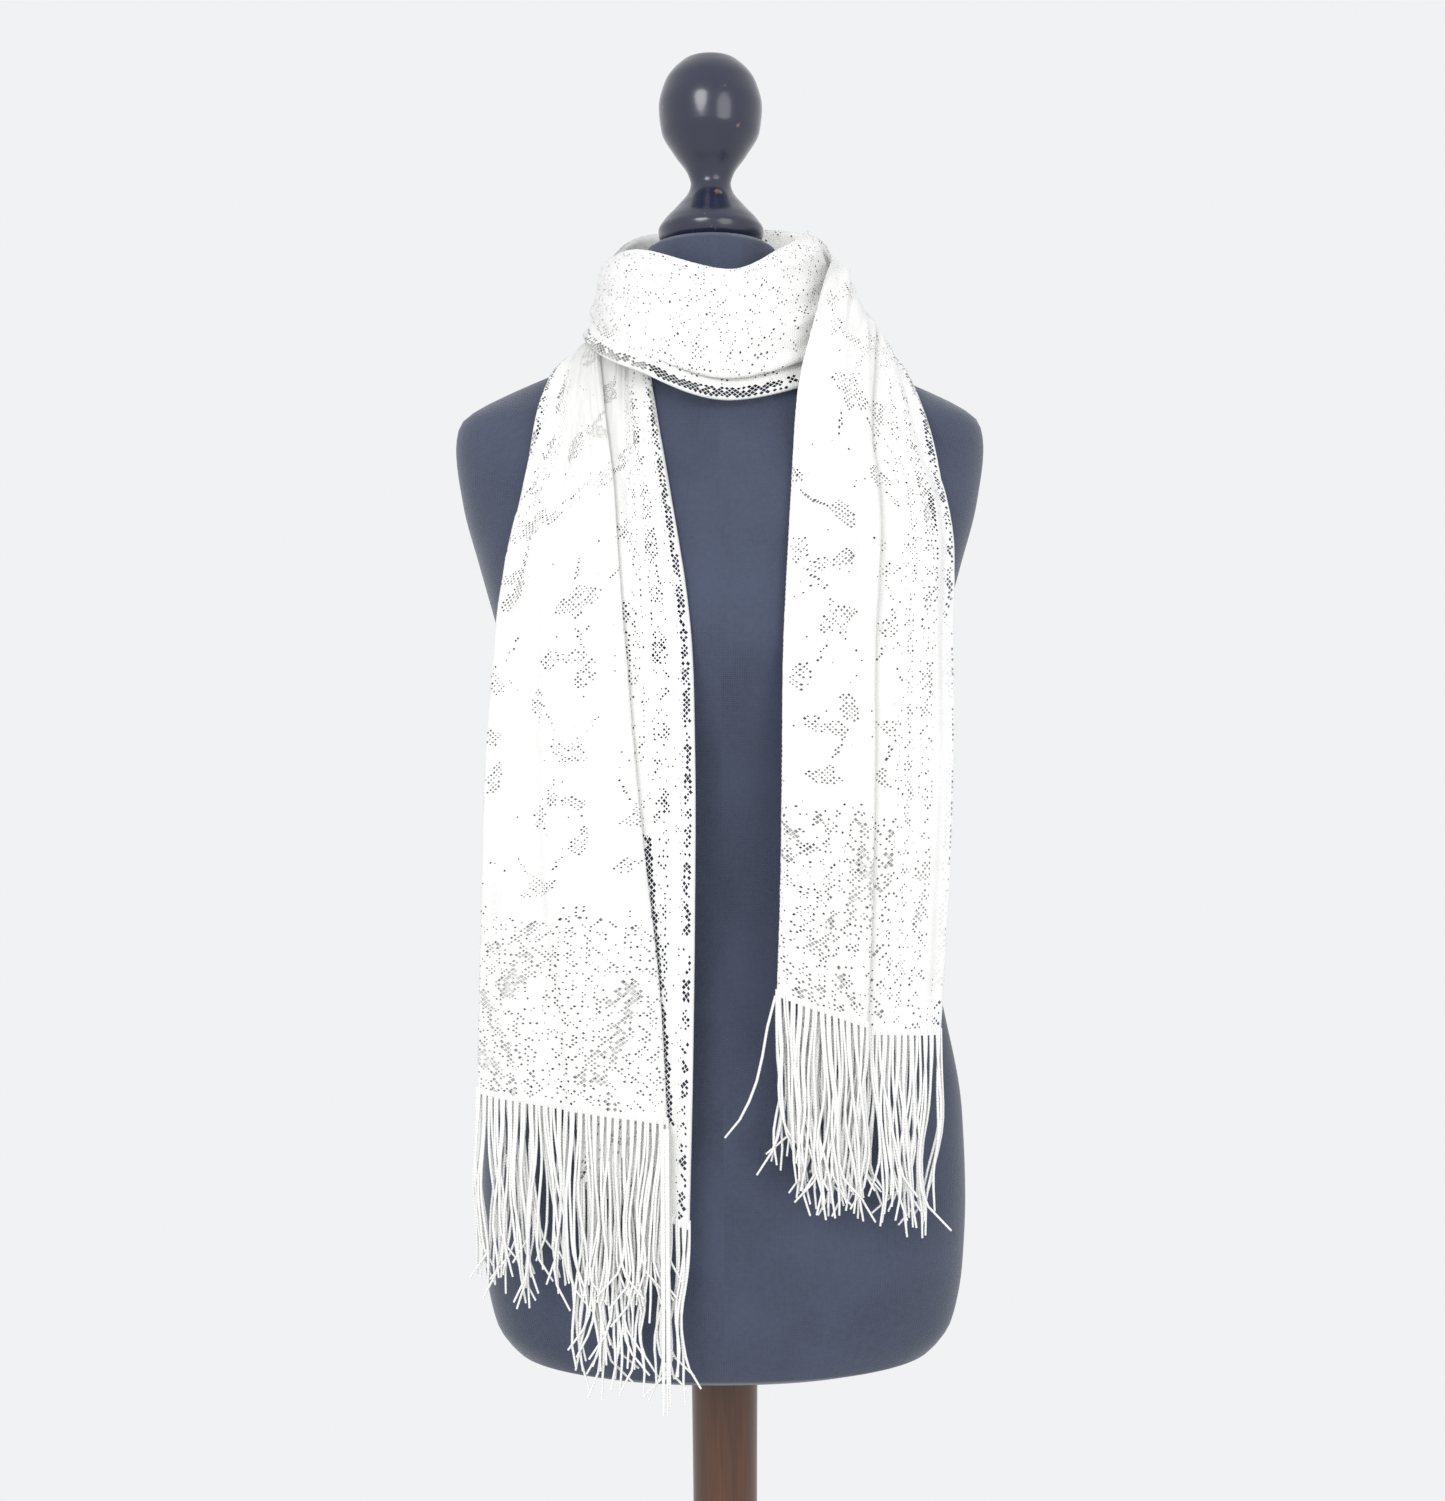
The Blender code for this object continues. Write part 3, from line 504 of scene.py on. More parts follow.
def fold_knots(along):
    """Shares across and levels of the 23 knots of the folded section, for each place along the shawl."""
    flap, first_end, second_start, last = (table_curve(FOLDS, k, along) for k in (1, 2, 3, 4))
    flap_n, first_n, return_n, second_n, last_n = (table_curve(LEVELS, k, along) for k in (1, 2, 3, 4, 5))
    inset = FOLD_INSET / np.linalg.norm(edge_curve(1, along) - edge_curve(0, along), axis=-1)
    turn = inset * np.clip((second_start - first_end) / (4 * inset), -1, 1)
    zero, one = np.zeros_like(along), np.ones_like(along)
    first_to, second_from, second_to = first_end - inset, second_start + inset, one - inset

    def between(a, b, share):
        return a + (b - a) * share

    knots = [
        (flap, flap_n),
        (between(flap, inset, 0.5), flap_n),
        (inset, flap_n),
        (zero, (flap_n + first_n) / 2),
        *((between(inset, first_to, k / 4), first_n) for k in range(5)),
        (first_end, (first_n + return_n) / 2),
        (first_end + turn, return_n),
        (between(first_end, second_start, 0.5), return_n),
        (second_start - turn, return_n),
        (second_start, (return_n + second_n) / 2),
        *((between(second_from, second_to, k / 4), second_n) for k in range(5)),
        (one, (second_n + last_n) / 2),
        (second_to, last_n),
        (between(second_to, last, 0.5), last_n),
        (last, last_n),
    ]
    return np.stack([k[0] for k in knots], axis=-1), np.stack([k[1] for k in knots], axis=-1)


def eased(field, rounds):
    """The field smoothed across the cloth, with its two edges kept."""
    for _ in range(rounds):
        field = field.copy()
        field[:, 1:-1] = (field[:, :-2] + 2 * field[:, 1:-1] + field[:, 2:]) / 4
    return field


def dense_section(along, columns, cloth_width):
    """The folded section at this many steps of the cloth.

    Its fields are the share across, the level, the knot number, the hem's shift, the place on the folded run and
    that run's length. Where the cloth is gathered, its borders keep more of their width than its middle.
    """
    share, level = fold_knots(along)
    width = np.linalg.norm(edge_curve(1, along) - edge_curve(0, along), axis=-1)
    pieces = np.hypot(np.diff(share, axis=1) * width[:, None], np.diff(level, axis=1) * LEVEL_STEP)
    run = np.concatenate([np.zeros((len(along), 1)), np.cumsum(pieces, axis=1)], axis=1)
    ramps = {}
    for side, bust, hem in (("left", "left bust", "left hem"), ("right", "right bust", "right hem")):
        way = np.clip((along - PLACE[bust]) / (PLACE[hem] - PLACE[bust]), 0, 1)
        ramps[side] = way * way * (3 - 2 * way)
    fields = [np.empty((len(along), columns)) for _ in range(5)]
    for i in range(len(along)):
        whole = run[i, -1]
        gathered = whole / cloth_width
        border = BORDER * (gathered + BORDER_HOLD * max(0.0, 1 - gathered))
        flat_stops = (0, BORDER, cloth_width - BORDER, cloth_width)
        at = np.interp(np.linspace(0, cloth_width, columns), flat_stops, (0, border, whole - border, whole))
        fields[0][i] = np.interp(at, run[i], share[i])
        fields[1][i] = np.interp(at, run[i], level[i])
        fields[2][i] = np.interp(at, run[i], np.arange(23))
        fields[3][i] = sum(
            ramps[side][i] * np.interp(at, run[i][list(SHIFT_KNOTS)], HEM_SHIFTS[side]) for side in ramps
        )
        fields[4][i] = at
    return eased(fields[0], 3), eased(fields[1], 3), *fields[2:], run[:, -1]


def smooth_step(value):
    t = np.clip(value, 0, 1)
    return t * t * (3 - 2 * t)


def span(along, first, last, fade=0.03):
    """1 between two stations, fading to 0 past each, and the share of the way from the first to the last."""
    start, end = sorted((PLACE[first], PLACE[last]))
    inside = smooth_step((along - start + fade) / (2 * fade)) * smooth_step((end + fade - along) / (2 * fade))
    way = (along - PLACE[first]) / (PLACE[last] - PLACE[first])
    return inside, np.clip(way, 0, 1)


def flute_field(along, share, width):
    """How far all the layers bulge at each point. It fades towards both edges of the shawl's path."""
    height = np.zeros_like(share)
    for first, last, share_first, share_last, tall, half in FLUTES:
        inside, way = span(along, first, last, 0.05)
        middle = share_first + (share_last - share_first) * way + 0.02 * np.sin(along * 37)
        off = (share - middle[:, None]) * width[:, None] / (half / 1000)
        wobble = 0.8 + 0.2 * np.sin(along * 23 + tall)
        height += inside[:, None] * wobble[:, None] * tall / 1000 * np.exp(-off * off)
    edge = np.minimum(share, 1 - share) * width[:, None]
    return height * smooth_step(edge / 0.016)


def settled(along, share, level, width):
    """The height of each point above the form: one step for every layer that lies under it."""
    flap, first_end, second_start, last = (table_curve(FOLDS, k, along) for k in (1, 2, 3, 4))
    zero, one = np.zeros_like(along), np.ones_like(along)
    runs = ((zero, flap), (zero, first_end), (second_start, first_end), (second_start, one), (last, one))
    height = np.zeros_like(share)
    for column, ends in enumerate(runs, start=1):
        below = table_curve(LEVELS, column, along)
        low, high = np.minimum(*ends), np.maximum(*ends)
        from_low = (share - low[:, None]) * width[:, None]
        to_high = (high[:, None] - share) * width[:, None]
        over = smooth_step(1 + (np.minimum(from_low, to_high) + SETTLE_MARGIN) / SETTLE_RAMP)
        height += np.clip(level - below[:, None], 0, 1) * over
    return height * LEVEL_STEP


def panel_mask(panel, share, level, knot, folds, width):
    """Where this panel shows, from 0 to 1: beside the edge of the panel that lies over it."""
    low, high = PANEL_KNOTS[panel]
    inside = smooth_step((knot - low) / 0.8) * smooth_step((high - knot) / 0.8)
    first_end, second_start, first_level, second_level = folds
    if panel == "first":
        covered = smooth_step((second_level - first_level)[:, None])
        clear = (second_start[:, None] - share) * width[:, None] / 0.006
    else:
        covered = smooth_step((first_level - second_level)[:, None])
        clear = (share - first_end[:, None]) * width[:, None] / 0.006
    return inside * (1 - covered * (1 - smooth_step(clear - 0.4)))


def crease_field(along, share, level, knot, run, width, cloth_width):
    """How far the panels that show stand out in creases and gathered waves."""
    folds = (table_curve(FOLDS, 2, along), table_curve(FOLDS, 3, along))
    levels = (table_curve(LEVELS, 2, along), table_curve(LEVELS, 4, along))
    height = np.zeros_like(share)
    fraction = np.linspace(0, 1, share.shape[1])[None, :]
    slack = np.sqrt(np.clip(cloth_width / run - 1, 0, 1.2))
    waves = np.sin(fraction * cloth_width / PANEL_WAVE * 2 * math.pi + 1.5 * np.sin(along * 9)[:, None])
    drift = 2 * np.sin(along * 6 + 1)[:, None]
    waves += 0.6 * np.sin(fraction * cloth_width / PANEL_WAVE * 3.7 * math.pi + drift)
    for panel, (low, high) in PANEL_KNOTS.items():
        shown = panel_mask(panel, share, level, knot, (*folds, *levels), width)
        across = (knot - low) / (high - low)
        height += shown * (0.00022 * slack[:, None] + 0.00016) * (1.3 + waves)
        for name, first, last, from_place, to_place, tall, half in CREASES:
            if name != panel:
                continue
            inside, way = span(along, first, last)
            middle = from_place + (to_place - from_place) * way + 0.02 * np.sin(along * 41 + tall)
            panel_run = run / PANELS_IN_RUN
            off = (across - middle[:, None]) * panel_run[:, None] / (half / 1000)
            height += shown * inside[:, None] * tall / 1000 / (1 + off * off * off * off)
    return height


def tree_of(points):
    """A search tree over the sheet through this grid of points."""
    rows, columns = points.shape[:2]
    faces = [
        (i * columns + j, i * columns + j + 1, (i + 1) * columns + j + 1, (i + 1) * columns + j)
        for i in range(rows - 1)
        for j in range(columns - 1)
    ]
    return BVHTree.FromPolygons(points.reshape(-1, 3).tolist(), faces)


def softened(field):
    """The field widened to its neighbours' largest values and then smoothed."""
    padded = np.pad(field, 2, mode="edge")
    shape = field.shape
    wide = np.max([padded[i : i + shape[0], j : j + shape[1]] for i in range(5) for j in range(5)], axis=0)
    for _ in range(5):
        padded = np.pad(wide, ((1, 1), (0, 0)), mode="edge")
        wide = (padded[:-2] + 2 * padded[1:-1] + padded[2:]) / 4
        padded = np.pad(wide, ((0, 0), (1, 1)), mode="edge")
        wide = (padded[:, :-2] + 2 * padded[:, 1:-1] + padded[:, 2:]) / 4
    return wide


def resampled(field, rows, columns):
    """A coarse field spread over this many rows and columns."""
    row_at = np.linspace(0, field.shape[0] - 1, rows)
    column_at = np.linspace(0, field.shape[1] - 1, columns)
    tall = np.stack([np.interp(row_at, np.arange(field.shape[0]), c) for c in field.T], axis=-1)
    return np.stack([np.interp(column_at, np.arange(field.shape[1]), r) for r in tall])


class Drape:
    """The whole shawl's draped surface, as a grid of points over its flat panel."""

    ROWS = 700
    COLUMNS = 300
    COARSE = 5

    def __init__(self, cloth_width):
        self.width = cloth_width
        self.length = ALONG[-1]
        along = np.linspace(0, ALONG[-1], self.ROWS)
        outer, inner = edge_curve(0, along), edge_curve(1, along)
        across = np.linalg.norm(inner - outer, axis=-1)
        share, level, knot, shift, place, run = dense_section(along, self.COLUMNS, cloth_width)
        self.gathered_place = place[..., None]
        base = outer[:, None, :] + (inner - outer)[:, None, :] * share[:, :, None]
        base[..., 2] += shift
        base = pushed_clear(base, STAND_OFF)
        outward = self.way_out(along, inner - outer)
        height = settled(along, share, level, across) + flute_field(along, share, across)
        height += self.lift(along, base, outward, height)
        height += crease_field(along, share, level, knot, run, across, cloth_width)
        self.points = base + outward[:, None, :] * height[:, :, None]
        first_end, first_level, second_level = (
            table_curve(table, column, along) for table, column in ((FOLDS, 2), (LEVELS, 2), (LEVELS, 4))
        )
        uncovered = (knot > PANEL_KNOTS["second"][0]) & (first_level > second_level)[:, None]
        from_fold = (share - first_end[:, None]) * across[:, None]
        self.beside_fold = np.where(uncovered, from_fold, -1.0)[..., None]

    @staticmethod
    def way_out(along, across):
        step = 0.004
        ahead = (edge_curve(0, along + step) + edge_curve(1, along + step)) / 2
        behind = (edge_curve(0, along - step) + edge_curve(1, along - step)) / 2
        outward = np.cross(across, ahead - behind)
        return outward / np.linalg.norm(outward, axis=-1, keepdims=True)

    def lift(self, along, base, outward, height):
        """How far each point is lifted so that the shawl clears what it is wound over."""
        step = self.COARSE
        rows, outward = along[::step], outward[::step]
        base, height = base[::step, ::step], height[::step, ::step]
        lift = np.zeros(base.shape[:2])
        for first, last, top in PASSES:
            laid = base + outward[:, None, :] * (height + lift)[:, :, None]
            below = np.nonzero(rows <= PLACE[top])[0]
            tree = tree_of(laid[below])
            for i in np.nonzero((rows >= PLACE[first]) & (rows < PLACE[last]))[0]:
                out = Vector(outward[i])
                for j in range(base.shape[1]):
                    start = Vector(base[i, j]) + out * LIFT_REACH
                    hit, _, face, away = tree.ray_cast(start, -out, LIFT_REACH + LIFT_CLEAR)
                    if hit and rows[i] - rows[face // (base.shape[1] - 1)] > LEAST_LAP:
                        lift[i, j] = LIFT_REACH - away + LIFT_CLEAR
            lift = softened(lift)
        return resampled(lift, self.ROWS, self.COLUMNS)

    def at(self, across, along, field=None):
        """Draped positions of flat points in metres across and along the panel, or another field's values."""
        i = np.clip(np.asarray(along) / self.length, 0, 1) * (self.ROWS - 1)
        j = np.clip(np.asarray(across) / self.width, 0, 1) * (self.COLUMNS - 1)
        row, column = np.minimum(i.astype(int), self.ROWS - 2), np.minimum(j.astype(int), self.COLUMNS - 2)
        down, right = (i - row)[:, None], (j - column)[:, None]
        p = self.points if field is None else field
        near = p[row, column] * (1 - right) + p[row, column + 1] * right
        far = p[row + 1, column] * (1 - right) + p[row + 1, column + 1] * right
        return near * (1 - down) + far * down


@functools.cache
def drape_for(width):
    """The draped surface of a panel this wide, worked out once for all the pieces that lie on it."""
    return Drape(width)


def drape_of(shawl):
    return drape_for(float(net_places(shawl)[0][-1]))


def scattered(i, j, seed=0):
    """Numbers from 0 to 1 that look random and are the same for the same cells every time."""
    value = np.sin(i * 12.9898 + j * 78.233 + seed * 37.719) * 43758.5453
    return value - np.floor(value)


def mottle(x, y, size):
    """Smooth patches of 0 to 1, about this size."""
    x, y = x / size, y / size
    i, j = np.floor(x), np.floor(y)
    a, b = smooth_step(x - i), smooth_step(y - j)
    near = scattered(i, j, 1) * (1 - a) + scattered(i + 1, j, 1) * a
    far = scattered(i, j + 1, 1) * (1 - a) + scattered(i + 1, j + 1, 1) * a
    return near * (1 - b) + far * b


def in_spray(x, y):
    """Whether each place lies in a leaf or petal of the half-drop repeat of plain flowers."""
    column = np.round(x / REPEAT[0])
    y = y - (column % 2) * REPEAT[1] / 2
    row = np.round(y / REPEAT[1])
    x = (x - column * REPEAT[0]) * np.where((row + column) % 2, -1, 1)
    y = y - row * REPEAT[1]
    inside = np.zeros(x.shape, bool)
    for root_x, root_y, length, fullness, turn in LEAVES:
        run, rise = math.cos(math.radians(turn)), math.sin(math.radians(turn))
        along = ((x - root_x) * run + (y - root_y) * rise) / length
        aside = np.abs((y - root_y) * run - (x - root_x) * rise) / length
        half = fullness * np.sin(math.pi * np.clip(along, 0, 1) ** 0.8)
        inside |= (along > 0.08) & (along < 1) & (aside < half)
    return inside


def chart(u, v, drape):
    """The share of cells that are open at these flat places, and how bold their holes are, from 0 to about 3.

    Distances are in millimetres: from the nearer long edge, and from the nearer hem.
    """
    fold = drape.at(u, v, drape.beside_fold)[:, 0] * 1000
    # The motifs keep their width where the cloth is gathered, because its fullness lies in tiny folds.
    x = drape.at(u, v, drape.gathered_place)[:, 0] * 1000
    on_neck = (v > PLACE["left side"]) & (v < PLACE["right side over"])
    beaded = (fold > 0.3) & (fold < 4.6) & (v > 0.055) & (v < PLACE["left waist"] + 0.035)
    u, v = u * 1000, v * 1000
    edge = np.minimum(u, drape.width * 1000 - u) + 0.5 * on_neck
    end = np.minimum(v, drape.length * 1000 - v)
    patch = mottle(x, v, 7.5) * (0.6 + 0.7 * mottle(x + 90, v, 19))
    cluster = mottle(edge * 0.3, v + u, 13)
    clump = mottle(x * 1.3, v + 50, 9) * (0.5 + 0.8 * mottle(x + 30, v, 26))
    vivid = mottle(x + 200, v, 44)
    onset = smooth_step((146 - end - 12 * patch) / 18)
    ladder = 0.36 + 0.54 * cluster + 0.1 * on_neck
    # From each edge inwards: selvedge, ladder, plain strip, mottled border, plain strip, dashes and a fading
    # strip. Then the border of each end, the gathered middle and the sprays. The first zone that fits counts.
    zones = (
        ((edge < 7.0) | (end < 4), 0.0, 0.0),
        (beaded, 0.95, 2.3),
        (edge < 12.6 + 2.6 * on_neck, ladder, 1.0 + 1.5 * cluster + 0.8 * on_neck),
        (edge < 15, 0.36, 0.0),
        (edge < 21, 0.04, 0.0),
        (edge < 33, 0.08 + 0.70 * patch, 1.5 * patch),
        (edge < 37, 0.08, 0.0),
        (edge < 43, np.where(edge % 6.4 < 3.2, 0.50, 0.10), 0.25),
        (edge < 50, 0.06 + 0.30 * patch, 0.3),
        (end < 146, onset * (0.16 + 0.62 * clump), 0.15 + 3.0 * clump * clump),
        (on_neck, 0.06 + 0.42 * patch, 0.12),
        (in_spray(x - drape.width * 500, v), 0.80 + 0.16 * vivid, (0.5 + 1.5 * patch) * vivid),
    )
    where, how_open, how_bold = zip(*zones)
    return np.select(where, how_open, 0.012), np.select(where, how_bold, 0.2)


def net_places(shawl):
    """Where the net's columns lie across the flat panel and its rows along it. A cell spans two of each."""
    border = np.full(shawl.border_columns, shawl.border_step)
    field = np.full(shawl.field_columns, shawl.field_step)
    across = np.cumsum(np.concatenate([[0], border, field, border]))
    return across, np.linspace(0, ALONG[-1], round(ALONG[-1] / shawl.row_step) + 1)


def flat_net(across, along, first_row, last_row, drape):
    """A flat net of diamond cells between two of its rows, with the chart's holes cut."""
    hems = (first_row == 0, last_row == len(along) - 1)
    rows = last_row - first_row + (0 if hems[1] else 1)
    columns = len(across) - 1
    bm = bmesh.new()
    bmesh.ops.create_grid(bm, x_segments=columns, y_segments=rows, size=0.5)
    corners, middles = [], []
    for index, vert in enumerate(bm.verts):
        i, j = index % (columns + 1), index // (columns + 1)
        vert.co = (across[i], along[j + first_row], 0)
        if (i + j + first_row) % 2:
            corners.append(vert)
        elif 0 < i < columns and 0 < j < rows:
            middles.append(vert)
    bmesh.ops.connect_verts(bm, verts=corners)
    bmesh.ops.dissolve_verts(bm, verts=middles)
    halfway = along[first_row + rows // 2]
    cells, middles, spare = [], [], []
    for face in bm.faces:
        middle = face.calc_center_bounds()
        if len(face.verts) == 4:
            cells.append(face)
            middles.append(middle)
        elif across[1] < middle.x < across[-2] and not hems[int(middle.y > halfway)]:
            spare.append(face)
    middles = np.array(middles)
    i, j = (np.searchsorted(at, middles[:, k] - 1e-5) for k, at in enumerate((across, along)))
    how_open, how_bold = chart(middles[:, 0], middles[:, 1], drape)
    size = np.searchsorted([row[0] for row in HOLE_SIZES], how_bold + scattered(i, j, 5), side="right")
    groups = {}
    for k in np.nonzero(scattered(i, j) < how_open)[0]:
        wide, tall = (np.ptp([vert.co[axis] for vert in cells[k].verts]) / 2 for axis in (0, 1))
        bar = wide * tall / math.hypot(wide, tall) * HOLE_SIZES[size[k] - 1][1]
        groups.setdefault(round(bar, 6), []).append(cells[k])
    for bar, faces in groups.items():
        bmesh.ops.inset_individual(bm, faces=faces, thickness=bar, use_even_offset=True)
        spare += faces
    bmesh.ops.delete(bm, geom=spare, context="FACES")
    return bm


def slack_net(flat, drape):
    """The flat places drawn a little out of line, as a soft net hangs. The panel's own edges stay straight."""
    u, v = flat[:, 0], flat[:, 1]
    side, end = np.minimum(u, drape.width - u), np.minimum(v, drape.length - v)
    free = smooth_step(side / SLACK_EDGE) * smooth_step(end / SLACK_EDGE)
    drawn = [mottle(u * 1000 + offset, v * 1000, SLACK_PATCH) - 0.5 for offset in (0, 400)]
    return u + free * drawn[0] * SLACK, v + free * drawn[1] * SLACK


def draped_net(name, shawl, drape, first, last):
    """One stretch of the shawl laid on the drape, with its flat place kept as a UV map, and its flat area."""
    across, along = net_places(shawl)
    rows = [int(np.abs(along - PLACE[station]).argmin()) for station in (first, last)]
    bm = flat_net(across, along, *rows, drape)
    area = sum(face.calc_area() for face in bm.faces)
    piece = smooth_piece(name, bm)
    mesh = piece.data
    flat = np.empty(len(mesh.vertices) * 3, np.float32)
    mesh.vertices.foreach_get("co", flat)
    flat = flat.reshape(-1, 3)
    corners = np.empty(len(mesh.loops), np.int32)
    mesh.loops.foreach_get("vertex_index", corners)
    layer = mesh.uv_layers.new(name="cut")
    layer.data.foreach_set("uv", flat[corners, :2].ravel())
    placed = drape.at(*slack_net(flat, drape)).astype(np.float32)
    mesh.vertices.foreach_set("co", placed.ravel())
    mesh.update()
    return piece, area


def add_piece(name, mesh):
    obj = bpy.data.objects.new(name, mesh)
    bpy.context.scene.collection.objects.link(obj)
    return obj


def smooth_piece(name, bm, sharp_from=None):
    """Adds what the bmesh holds as a smooth piece, with sharp edges where it turns by more than this angle."""
    mesh = bpy.data.meshes.new(name)
    bm.to_mesh(mesh)
    bm.free()
    mesh.shade_smooth()
    if sharp_from:
        mesh.set_sharp_from_angle(angle=sharp_from)
    return add_piece(name, mesh)


def dressed(obj, finish, slot_name, *nodes):
    """Gives a finished piece its material and body, and hides the nodes that it stands for. Its slot name is not
    used.
    """
    obj.data.materials.clear()
    obj.data.materials.append(finish)
    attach(obj, "root")
    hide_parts(*nodes)
    return obj


def plug(tree, made, inputs):
    """Sets a node's inputs: each socket gets a value or is joined to another node's output."""
    for socket, value in inputs.items():
        if isinstance(value, bpy.types.NodeSocket):
            tree.links.new(value, made.inputs[socket])
        else:
            made.inputs[socket].default_value = value


def node(tree, kind, inputs=None, **settings):
    """Adds a node with these settings and inputs."""
    made = tree.nodes.new(kind)
    for name, value in settings.items():
        setattr(made, name, value)
    plug(tree, made, inputs or {})
    return made


def new_material(name):
    """A material with its tree and its Principled shader."""
    made = bpy.data.materials.new(name)
    made.use_nodes = True
    return made, made.node_tree, made.node_tree.nodes["Principled BSDF"]


def stops(ramp, colour, *places):
    """Sets a colour ramp's two stops from (place, share of the colour) pairs."""
    for element, (place, share) in zip(ramp.color_ramp.elements, places):
        element.position = place
        element.color = (*(c * share for c in colour), 1.0)


def stitches(tree, place, wales, courses):
    """The relief of knitted loops, from the distance and the waver of its wales and of its courses."""
    wales, courses = (
        node(
            tree,
            "ShaderNodeTexWave",
            {"Vector": place, "Scale": WAVE_PERIOD / gap, "Distortion": waver, "Detail": 1.0},
            bands_direction=way,
        )
        for way, (gap, waver) in (("X", wales), ("Y", courses))
    )
    loops = {0: wales.outputs["Fac"], 1: courses.outputs["Fac"]}
    return node(tree, "ShaderNodeMath", loops, operation="MULTIPLY").outputs["Value"]


def knitted_lace(yarn):
    """White warp-knitted polyester lace: matt, with fine chains of loops lengthwise and a faint sheen."""
    material, tree, shader = new_material("white_warp_knitted_lace")
    cut = node(tree, "ShaderNodeUVMap", uv_map="cut").outputs["UV"]
    # Knitted chains run 1.1 mm apart, drawn at their size.
    stitch = stitches(tree, cut, (0.0011, 0.6), (0.0013, 0.8))
    fuzz = node(tree, "ShaderNodeTexNoise", {"Vector": cut, "Scale": 900.0, "Detail": 3.0}).outputs["Fac"]
    cloud = node(tree, "ShaderNodeTexNoise", {"Vector": cut, "Scale": 45.0, "Detail": 2.0}).outputs["Fac"]
    relief = node(tree, "ShaderNodeMath", {0: fuzz, 1: 0.35, 2: stitch}, operation="MULTIPLY_ADD")
    # The colour is darker between the loops, which is painted shade in the grooves of the relief. It also varies
    # at random in soft clouds.
    painted_stitch_shade_and_mottle = node(tree, "ShaderNodeMath", {0: stitch, 1: 0.6, 2: cloud}, operation="MULTIPLY_ADD")
    raised = {"Height": relief.outputs["Value"], "Strength": 0.55, "Distance": 0.0004}
    tone = node(tree, "ShaderNodeValToRGB", {"Fac": painted_stitch_shade_and_mottle.outputs["Value"]})
    stops(tone, yarn, (0.25, 0.84), (0.75, 0.92))
    look = {
        "Base Color": tone.outputs["Color"],
        "Normal": node(tree, "ShaderNodeBump", raised).outputs["Normal"],
        "Roughness": 0.85,
        "Sheen Weight": 0.25,
        "Sheen Roughness": 0.4,
    }
    plug(tree, shader, look)
    return material


def fringe_cord(yarn):
    """The fringe's chain-stitched cord: the lace's own yarn, rounder, with a loop every 2 mm."""
    material, tree, shader = new_material("white_chain_stitched_cord")
    place = node(tree, "ShaderNodeTexCoord").outputs["Object"]
    # Loops 1.9 mm long, so that the chain shows from a step away.
    chain = {"Vector": place, "Scale": WAVE_PERIOD / 0.0019, "Distortion": 1.5, "Detail": 1.0}
    loops = node(tree, "ShaderNodeTexWave", chain, bands_direction="Z").outputs["Fac"]
    # The colour is a little darker between the loops, which is painted shade in the grooves of the chain.
    tone = node(tree, "ShaderNodeValToRGB", {"Fac": loops})
    stops(tone, yarn, (0.1, 0.96), (0.6, 1.0))
    raised = {"Height": loops, "Strength": 0.6, "Distance": 0.0005}
    look = {
        "Base Color": tone.outputs["Color"],
        "Normal": node(tree, "ShaderNodeBump", raised).outputs["Normal"],
        "Roughness": 0.8,
        "Sheen Weight": 0.2,
    }
    plug(tree, shader, look)
    return material


def black_jersey(colour):
    """Black cotton jersey stretched over the body: matt, with fine upright wales and a little lint."""
    material, tree, shader = new_material("black_cotton_jersey")
    cover = node(tree, "ShaderNodeUVMap", uv_map="cover").outputs["UV"]
    # Jersey wales are about 0.8 mm apart, drawn at 1.6 mm so that they show.
    stitch = stitches(tree, cover, (0.0016, 0.4), (0.0013, 0.6))
    lint = node(tree, "ShaderNodeTexNoise", {"Vector": cover, "Scale": 260.0, "Detail": 6.0}).outputs["Fac"]
    wear = node(tree, "ShaderNodeTexNoise", {"Vector": cover, "Scale": 14.0, "Detail": 3.0}).outputs["Fac"]
    # The colour is darker between the wales, which is painted shade in the grooves of the knit. It is mixed with
    # random wear and lint.
    painted_stitch_shade_and_mottle = node(tree, "ShaderNodeMath", {0: stitch, 1: 0.5, 2: wear}, operation="MULTIPLY_ADD")
    lint_and_painted_stitch_shade = node(tree, "ShaderNodeMath", {0: lint, 1: 0.5, 2: painted_stitch_shade_and_mottle.outputs["Value"]}, operation="MULTIPLY_ADD")
    tone = node(tree, "ShaderNodeValToRGB", {"Fac": lint_and_painted_stitch_shade.outputs["Value"]})
    stops(tone, colour, (0.55, 0.8), (1.0, 1.25))
    raised = {"Height": stitch, "Strength": 0.5, "Distance": 0.0004}
    look = {
        "Base Color": tone.outputs["Color"],
        "Normal": node(tree, "ShaderNodeBump", raised).outputs["Normal"],
        "Roughness": 0.9,
        "Sheen Weight": 0.35,
        "Sheen Roughness": 0.35,
    }
    plug(tree, shader, look)
    return material


